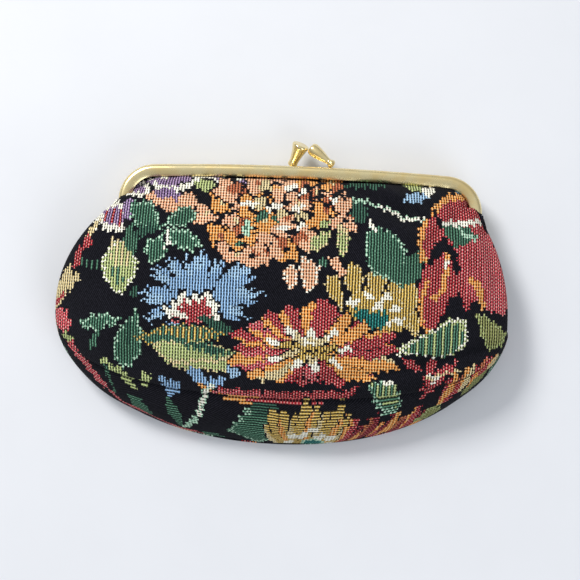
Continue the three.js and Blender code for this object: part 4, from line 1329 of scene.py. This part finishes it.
def back_sheet(name, inset, floor_z, edge_z, columns, rows_above, rows_below, thickness):
    """The back panel, flat on the surface below the purse, with its edges turned up into the frame."""
    side_turn = np.pi / 2 * BACK_TURN_SHARE
    share = np.sin(np.linspace(-side_turn, side_turn, columns)) / math.sin(side_turn)
    side = np.where(share < 0, -1.0, 1.0)
    y_above = np.linspace(PANEL_TOP, WIDEST_Y, rows_above)[:, None] + 0 * share
    x_above = BAG_MIDDLE + (shoulder_width(y_above, side) - inset) * share
    reach = power(1 - np.abs(share) ** BACK_SEAM_POWER, 1 / BACK_SEAM_POWER)
    down = np.linspace(0, 1, rows_below + 1)[1:, None]
    y_below = WIDEST_Y - (BACK_SEAM_DROP - inset) * down * reach
    x_below = BAG_MIDDLE + (BAG_HALF_WIDTH - inset) * share + 0 * down
    x = np.concatenate([x_above, x_below])
    y = np.concatenate([y_above, y_below])
    radius_below = seam_radius(share, down * reach, BACK_SEAM_POWER)
    radius = np.concatenate([np.abs(share) + 0 * y_above, radius_below])
    ripple = 0.05 * (1 + np.sin(x / 8.3 + 0.4 * np.sin(y / 6.0)))
    # The lining lies loose: low wrinkles that fade out at its edges.
    loose = min(inset, 1.0) * (1 - smooth(0.55, 0.9, radius)) * smooth(0, 12, PANEL_TOP - y)
    slant = (x + 0.9 * y + 4 * np.sin(y / 9.0)) / 4.6
    wrinkle = 0.5 + 0.5 * np.sin(slant) * np.sin(x / 17.0 - y / 11.0 + 0.7)
    turned_up = (edge_z - floor_z - 0.05) * smooth(BACK_FLAT_SHARE, 1.0, radius)
    z = floor_z + ripple + turned_up + 1.1 * loose * wrinkle**2
    points = np.stack([x, y, z], -1)
    surface = Surface()
    surface.grid(points, points[..., :2], points[..., :2] * (-1, 1))
    edge = boundary_of(points, rows_above - 1)
    in_slot = HINGE_Z - BACK_CHANNEL_Z - CHANNEL_DEPTH / 2
    outside = HINGE_Z - max(edge_z, BACK_CHANNEL_Z - 0.8 - 0.3 * inset)
    strip = side_strip(edge, in_slot, outside, mirror=-1.0)
    flat = outward_offsets(edge[:, :2], strip)
    surface.grid(strip, flat, flat * (-1, 1))
    return surface.mesh(name, thickness, face_down=True)


def finish_lining(obj, node):
    """The lining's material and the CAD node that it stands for."""
    obj.data.materials.append(lining_cloth)
    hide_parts(node)


# ---------------------------------------------------------------- metal and paper pieces


def channel_section(face):
    """The channel's section as (depth, height): a U with rounded outer corners and rolled lips.
    Its face, on the front half's upper side (1) or the back half's lower side (-1), slopes down
    to its lip."""
    slopes = {face: FACE_SLOPE, -face: 0.0}
    outer, inner = [], []
    steps = 9
    for inset, line in ((0.0, outer), (CHANNEL_WALL, inner)):
        corner = CHANNEL_ROUND - inset / 2
        line.append((CHANNEL_WIDTH - 0.1, inset + slopes[-1]))
        line.append((FACE_BEND, inset + 0.2 * slopes[-1]))
        for side in (-1, 1):
            centre = CHANNEL_DEPTH / 2 + side * (CHANNEL_DEPTH / 2 - inset - corner)
            for step in range(steps + 1):
                turn = math.pi / 2 * step / steps
                turn = turn if side < 0 else math.pi / 2 - turn
                depth = inset + corner - corner * math.sin(turn)
                line.append((depth, centre + side * corner * math.cos(turn)))
        line.append((FACE_BEND, CHANNEL_DEPTH - inset - 0.2 * slopes[1]))
        line.append((CHANNEL_WIDTH - 0.1, CHANNEL_DEPTH - inset - slopes[1]))
    lips = {}
    for side in (1, -1):
        middle = CHANNEL_DEPTH / 2 + side * (CHANNEL_DEPTH / 2 - CHANNEL_WALL / 2 - slopes[side])
        turns = [math.pi * step / 6 for step in range(1, 6)]
        lips[side] = [
            (CHANNEL_WIDTH - 0.1 + 0.15 * math.sin(turn), middle + CHANNEL_WALL / 2 * math.cos(turn))
            for turn in turns
        ]
    return np.array(outer + lips[1] + inner[::-1] + lips[-1])


def hinge_tab(name, side, x):
    """A rounded tab that carries the rivet. side is -1 on the back half, under the hinge line."""
    near, far = side * 0.3, side * (CHANNEL_DEPTH - 0.1)
    outline = [(TAB_ROOT, near), (TAB_ROOT, far)]
    for step in range(25):
        turn = side * math.pi / 2 * (1 + 2 * step / 24)
        outline.append((TAB_RADIUS * math.cos(turn), TAB_RADIUS * math.sin(turn)))
    outline.append((LEG_END - 0.4, near))
    rings = np.array([[(across, y, HINGE_Z + z) for y, z in outline] for across in (x, x + TAB_THICKNESS)])
    obj = close_ends(tube(name, rings))
    bevel = obj.modifiers.new("bevel", "BEVEL")
    bevel.width = TAB_BEVEL * MM
    bevel.segments = 3
    bevel.limit_method = "ANGLE"
    bevel.angle_limit = BEVEL_ANGLE
    return apply_modifiers(obj)


def joined(objects):
    """The first of the objects, with the others joined to it."""
    bpy.ops.object.select_all(action="DESELECT")
    for obj in objects:
        obj.select_set(True)
    bpy.context.view_layer.objects.active = objects[0]
    bpy.ops.object.join()
    bpy.ops.object.select_all(action="DESELECT")
    return objects[0]


def finish_metal(obj, material, body, node):
    """A metal piece's material, its sharp edges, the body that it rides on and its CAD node."""
    obj.data.materials.clear()
    obj.data.materials.append(material)
    obj.data.polygons.foreach_set("use_smooth", np.ones(len(obj.data.polygons), bool))
    obj.data.set_sharp_from_angle(angle=SHARP_ANGLE)
    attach(obj, body)
    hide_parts(node)


def frame_half(name, node, base_z, side, tab_x, material, body):
    """The channel of the back half (side -1) or the front half (1), with its two hinge tabs."""
    section = channel_section(side)
    rings = inwards(frame_line(LEG_END)[:, None], section[:, 0], base_z + section[:, 1])
    channel = close_ends(tube(name, rings))
    tabs = [hinge_tab(name + "_tab", side, x) for x in (tab_x, -tab_x - TAB_THICKNESS)]
    finish_metal(joined([channel, *tabs]), material, body, node)


def turned(profile, lean, segments=56, smooth_steps=4):
    """Rings of a turned solid, from (radius, distance along) points, with its axis along lean."""
    rows = np.array([[(radius, along, 0) for radius, along in profile]], float)
    radius, along, _ = catmull_rows(rows, smooth_steps)[0].T[:, :, None]
    radius = np.maximum(radius, 0.0)
    angle = np.linspace(0, 2 * np.pi, segments, endpoint=False)
    rings = np.stack([radius * np.cos(angle), along + 0 * angle, radius * np.sin(angle)], -1)
    turn = Vector((0, 1, 0)).rotation_difference(Vector(lean).normalized())
    return rings @ np.array(turn.to_matrix()).T


def turned_object(name, rings):
    """A closed solid from rings, with its first and last ring drawn together to a point."""
    obj = tube(name, rings)
    obj.modifiers.new("weld", "WELD").merge_threshold = METAL_WELD * MM
    return close_ends(apply_modifiers(obj))


def clasp_arm(name, node, profile, foot, lean, body, material):
    """A turned arm that stands on the bar at foot."""
    rings = turned(profile, lean)
    rings += np.array([foot[0], foot[1] - rings[..., 1].min(), foot[2]])
    finish_metal(turned_object(name, rings), material, body, node)


def rivet(name, node, side, material):
    """A tubular rivet: a shank, a formed head and a spread end with a dimple."""
    inner = FRONT_TAB_X - 0.9
    outer = BACK_TAB_X + TAB_THICKNESS + 0.3
    head = [(0, 0.12), (0.8, 0.06), (1.45, 0), (1.8, 0.2), (1.8, 0.5), (1.7, 0.6), (0.85, 0.62), (0.8, 0.7)]
    spread = [
        (0.8, -0.1), (0.85, 0), (1.7, 0.02), (1.8, 0.2), (1.4, 0.55), (0.9, 0.6), (0.55, 0.45), (0.5, 0.1),
        (0, 0.05),
    ]
    profile = [(radius, inner + along) for radius, along in head]
    profile += [(radius, outer + along) for radius, along in spread]
    rings = turned(profile, (side, 0, 0), 40, 3) + np.array([0, 0, HINGE_Z])
    finish_metal(turned_object(name, rings), material, "back", node)


def paper_cord(name, node, base_z, material, body):
    """Twisted paper: three strands laid round each other along the channel."""
    line = frame_line(CORD_END, corner_steps=60, crown_steps=260, leg_steps=80)
    middle_z = base_z + CHANNEL_DEPTH / 2
    gone = distance_along(inwards(line, CORD_DEPTH, middle_z))
    angle = np.linspace(0, 2 * np.pi, 30, endpoint=False)
    twist = 2 * np.pi * gone[:, None] / CORD_LAY
    radius = CORD_RADIUS + STRAND_BULGE * np.abs(np.cos(1.5 * (angle - twist)))
    rings = inwards(line[:, None], CORD_DEPTH + radius * np.cos(angle), middle_z + radius * np.sin(angle))
    obj = close_ends(tube(name, rings))
    obj.data.materials.append(material)
    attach(obj, body)
    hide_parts(node)


# ---------------------------------------------------------------- the purse

brass = brass_material("brass_plate", 0.26)
bright_brass = brass_material("clasp_brass", 0.2)
paper = grainy_material("kraft_paper", (1800.0, 4.0, 0.75), PAPER_DARK, PAPER_LIGHT, 0.92, 0.00005)
lining_cloth = lining_material()
tapestry = tapestry_material()

frame_half("back_channel", "back_frame", BACK_CHANNEL_Z, -1, BACK_TAB_X, brass, "back")
frame_half("front_channel", "front_frame", FRONT_CHANNEL_Z, 1, FRONT_TAB_X, brass, "front")
rivet("rivet_left", "hinge_rivet_left", -1, bright_brass)
rivet("rivet_right", "hinge_rivet_right", 1, bright_brass)
paper_cord("back_cord", "back_paper_cord", BACK_CHANNEL_Z, paper, "back")
paper_cord("front_cord", "front_paper_cord", FRONT_CHANNEL_Z, paper, "front")

# The clasp arms as (radius, distance along) from the foot to the tip.
LEFT_ARM = [
    (0, 0), (1.1, 0.1), (1.4, 0.6), (1.3, 1.4), (1.5, 2.9), (1.95, 4.8), (2.4, 6.1), (2.4, 6.7), (1.9, 7),
    (0, 7),
]
RIGHT_ARM = [
    (0, 0), (0.8, 0.1), (1.2, 0.5), (1.15, 1.1), (0.85, 1.7), (1.05, 2.8), (1.4, 4.2), (1.7, 5.7),
    (1.85, 6.9), (1.85, 7.8), (1.4, 8.4), (0, 8.6),
]
# The arms stand just clear of the bar.
ARM_FOOT_Y = BAR_TOP + 0.02
for side, profile, foot_x, channel_z, lean in (
    ("left", LEFT_ARM, -2.9, BACK_CHANNEL_Z, (0.36, 0.87, 0.33)),
    ("right", RIGHT_ARM, 9.0, FRONT_CHANNEL_Z, (-0.78, 0.58, -0.25)),
):
    foot = (foot_x, ARM_FOOT_Y, channel_z + CHANNEL_DEPTH / 2)
    node = "clasp_arm_" + side
    clasp_arm(f"clasp_{side}_trumpet", node, profile, foot, lean, "clasp_" + side, bright_brass)

front_panel = front_sheet("front_cloth", 0.0, 400, 165, 95, 0.55)
weave(front_panel, [front_pattern, gusset_pattern], seed=11)
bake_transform(front_panel)
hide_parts("front_panel_upper", "front_panel_lower", "front_interlining")

front_lining = front_sheet("front_lining_cloth", FRONT_LINING_INSET, 260, 120, 60, 0.0)
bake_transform(front_lining)
finish_lining(front_lining, "front_lining")

gusset = gusset_sheet("gusset_cloth", 0.0, 560, 52, 0.55)
weave(gusset, [front_pattern, gusset_pattern], seed=12)
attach(gusset, "back")
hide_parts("gusset")

gusset_lining = gusset_sheet("gusset_lining_cloth", 1.9, 200, 24, 0.0)
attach(gusset_lining, "back")
finish_lining(gusset_lining, "gusset_lining")

back_panel = back_sheet("back_cloth", 0.0, 0.0, 0.8, 300, 90, 100, 0.5)
weave(back_panel, [back_pattern], seed=13)
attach(back_panel, "back")
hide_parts("back_panel", "back_interlining")

back_lining = back_sheet("back_lining_cloth", 1.5, 0.75, 1.0, 120, 40, 44, 0.0)
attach(back_lining, "back")
finish_lining(back_lining, "back_lining")

# ---------------------------------------------------------------- floor, light and camera

FLOOR_REACH = 6000.0
floor_corners = FLOOR_REACH * np.array([(-1.0, -1, 0), (1, -1, 0), (1, 1, 0), (-1, 1, 0)])
floor = link("floor", new_mesh("floor", floor_corners, np.array([[0, 1, 2, 3]])))
grey_floor = grainy_material("floor", (30.0, 3.0, 0.6), FLOOR_DARK, FLOOR_LIGHT, 0.7, 0.00002)
floor.data.materials.append(grey_floor)

# The sky is brightest overhead and towards the window, past the bar.
SKY_DIM = 0.34
SKY_BRIGHT = 0.70
SKY_TOP = (-0.15, 0.42, 0.89)
world = bpy.data.worlds.new("world")
sky = Nodes(world)
all_round = sky.node("ShaderNodeTexCoord").outputs["Generated"]
towards = sky.node("ShaderNodeVectorMath", {0: all_round, 1: SKY_TOP}, operation="DOT_PRODUCT")
limits = {"From Min": 0.25, "From Max": 0.95, "To Min": SKY_DIM, "To Max": SKY_BRIGHT}
limits["Value"] = towards.outputs["Value"]
background = sky.tree.nodes["Background"]
sky.feed(background.inputs["Strength"], sky.node("ShaderNodeMapRange", limits).outputs["Result"])
sky.feed(background.inputs["Color"], (0.93, 0.96, 1.0))
bpy.context.scene.world = world


def area_light(name, place, side, power, colour):
    """A square light that points at the middle of the purse."""
    light = bpy.data.lights.new(name, "AREA")
    light.shape = "RECTANGLE"
    light.size, light.size_y = side, side
    light.energy = power
    light.color = colour
    obj = link(name, light)
    obj.location = place
    obj.rotation_euler = (-Vector(place)).to_track_quat("-Z", "Y").to_euler()


area_light("window", (-0.42, 0.50, 0.62), 0.26, 7.0, (1.0, 0.985, 0.96))
area_light("fill", (0.40, -0.55, 0.50), 0.5, 2.4, (0.93, 0.96, 1.0))

# The camera looks straight down from above the middle of the bag, turned a little.
SENSOR_WIDTH = 36.0
IMAGE_SIDE = 580
FOCAL_LENGTH = 1386
CAMERA_TURN = math.radians(2.4)
camera_data = bpy.data.cameras.new("camera")
camera_data.sensor_width = SENSOR_WIDTH
camera_data.lens = SENSOR_WIDTH * FOCAL_LENGTH / IMAGE_SIDE
camera_data.clip_start = 0.01
camera_data.clip_end = 10.0
camera = link("camera", camera_data)
camera.location = (0.0021, -0.0001, 0.405)
camera.rotation_euler = (0.0, 0.0, CAMERA_TURN)
bpy.context.scene.camera = camera

bpy.context.scene.view_settings.view_transform = "Standard"
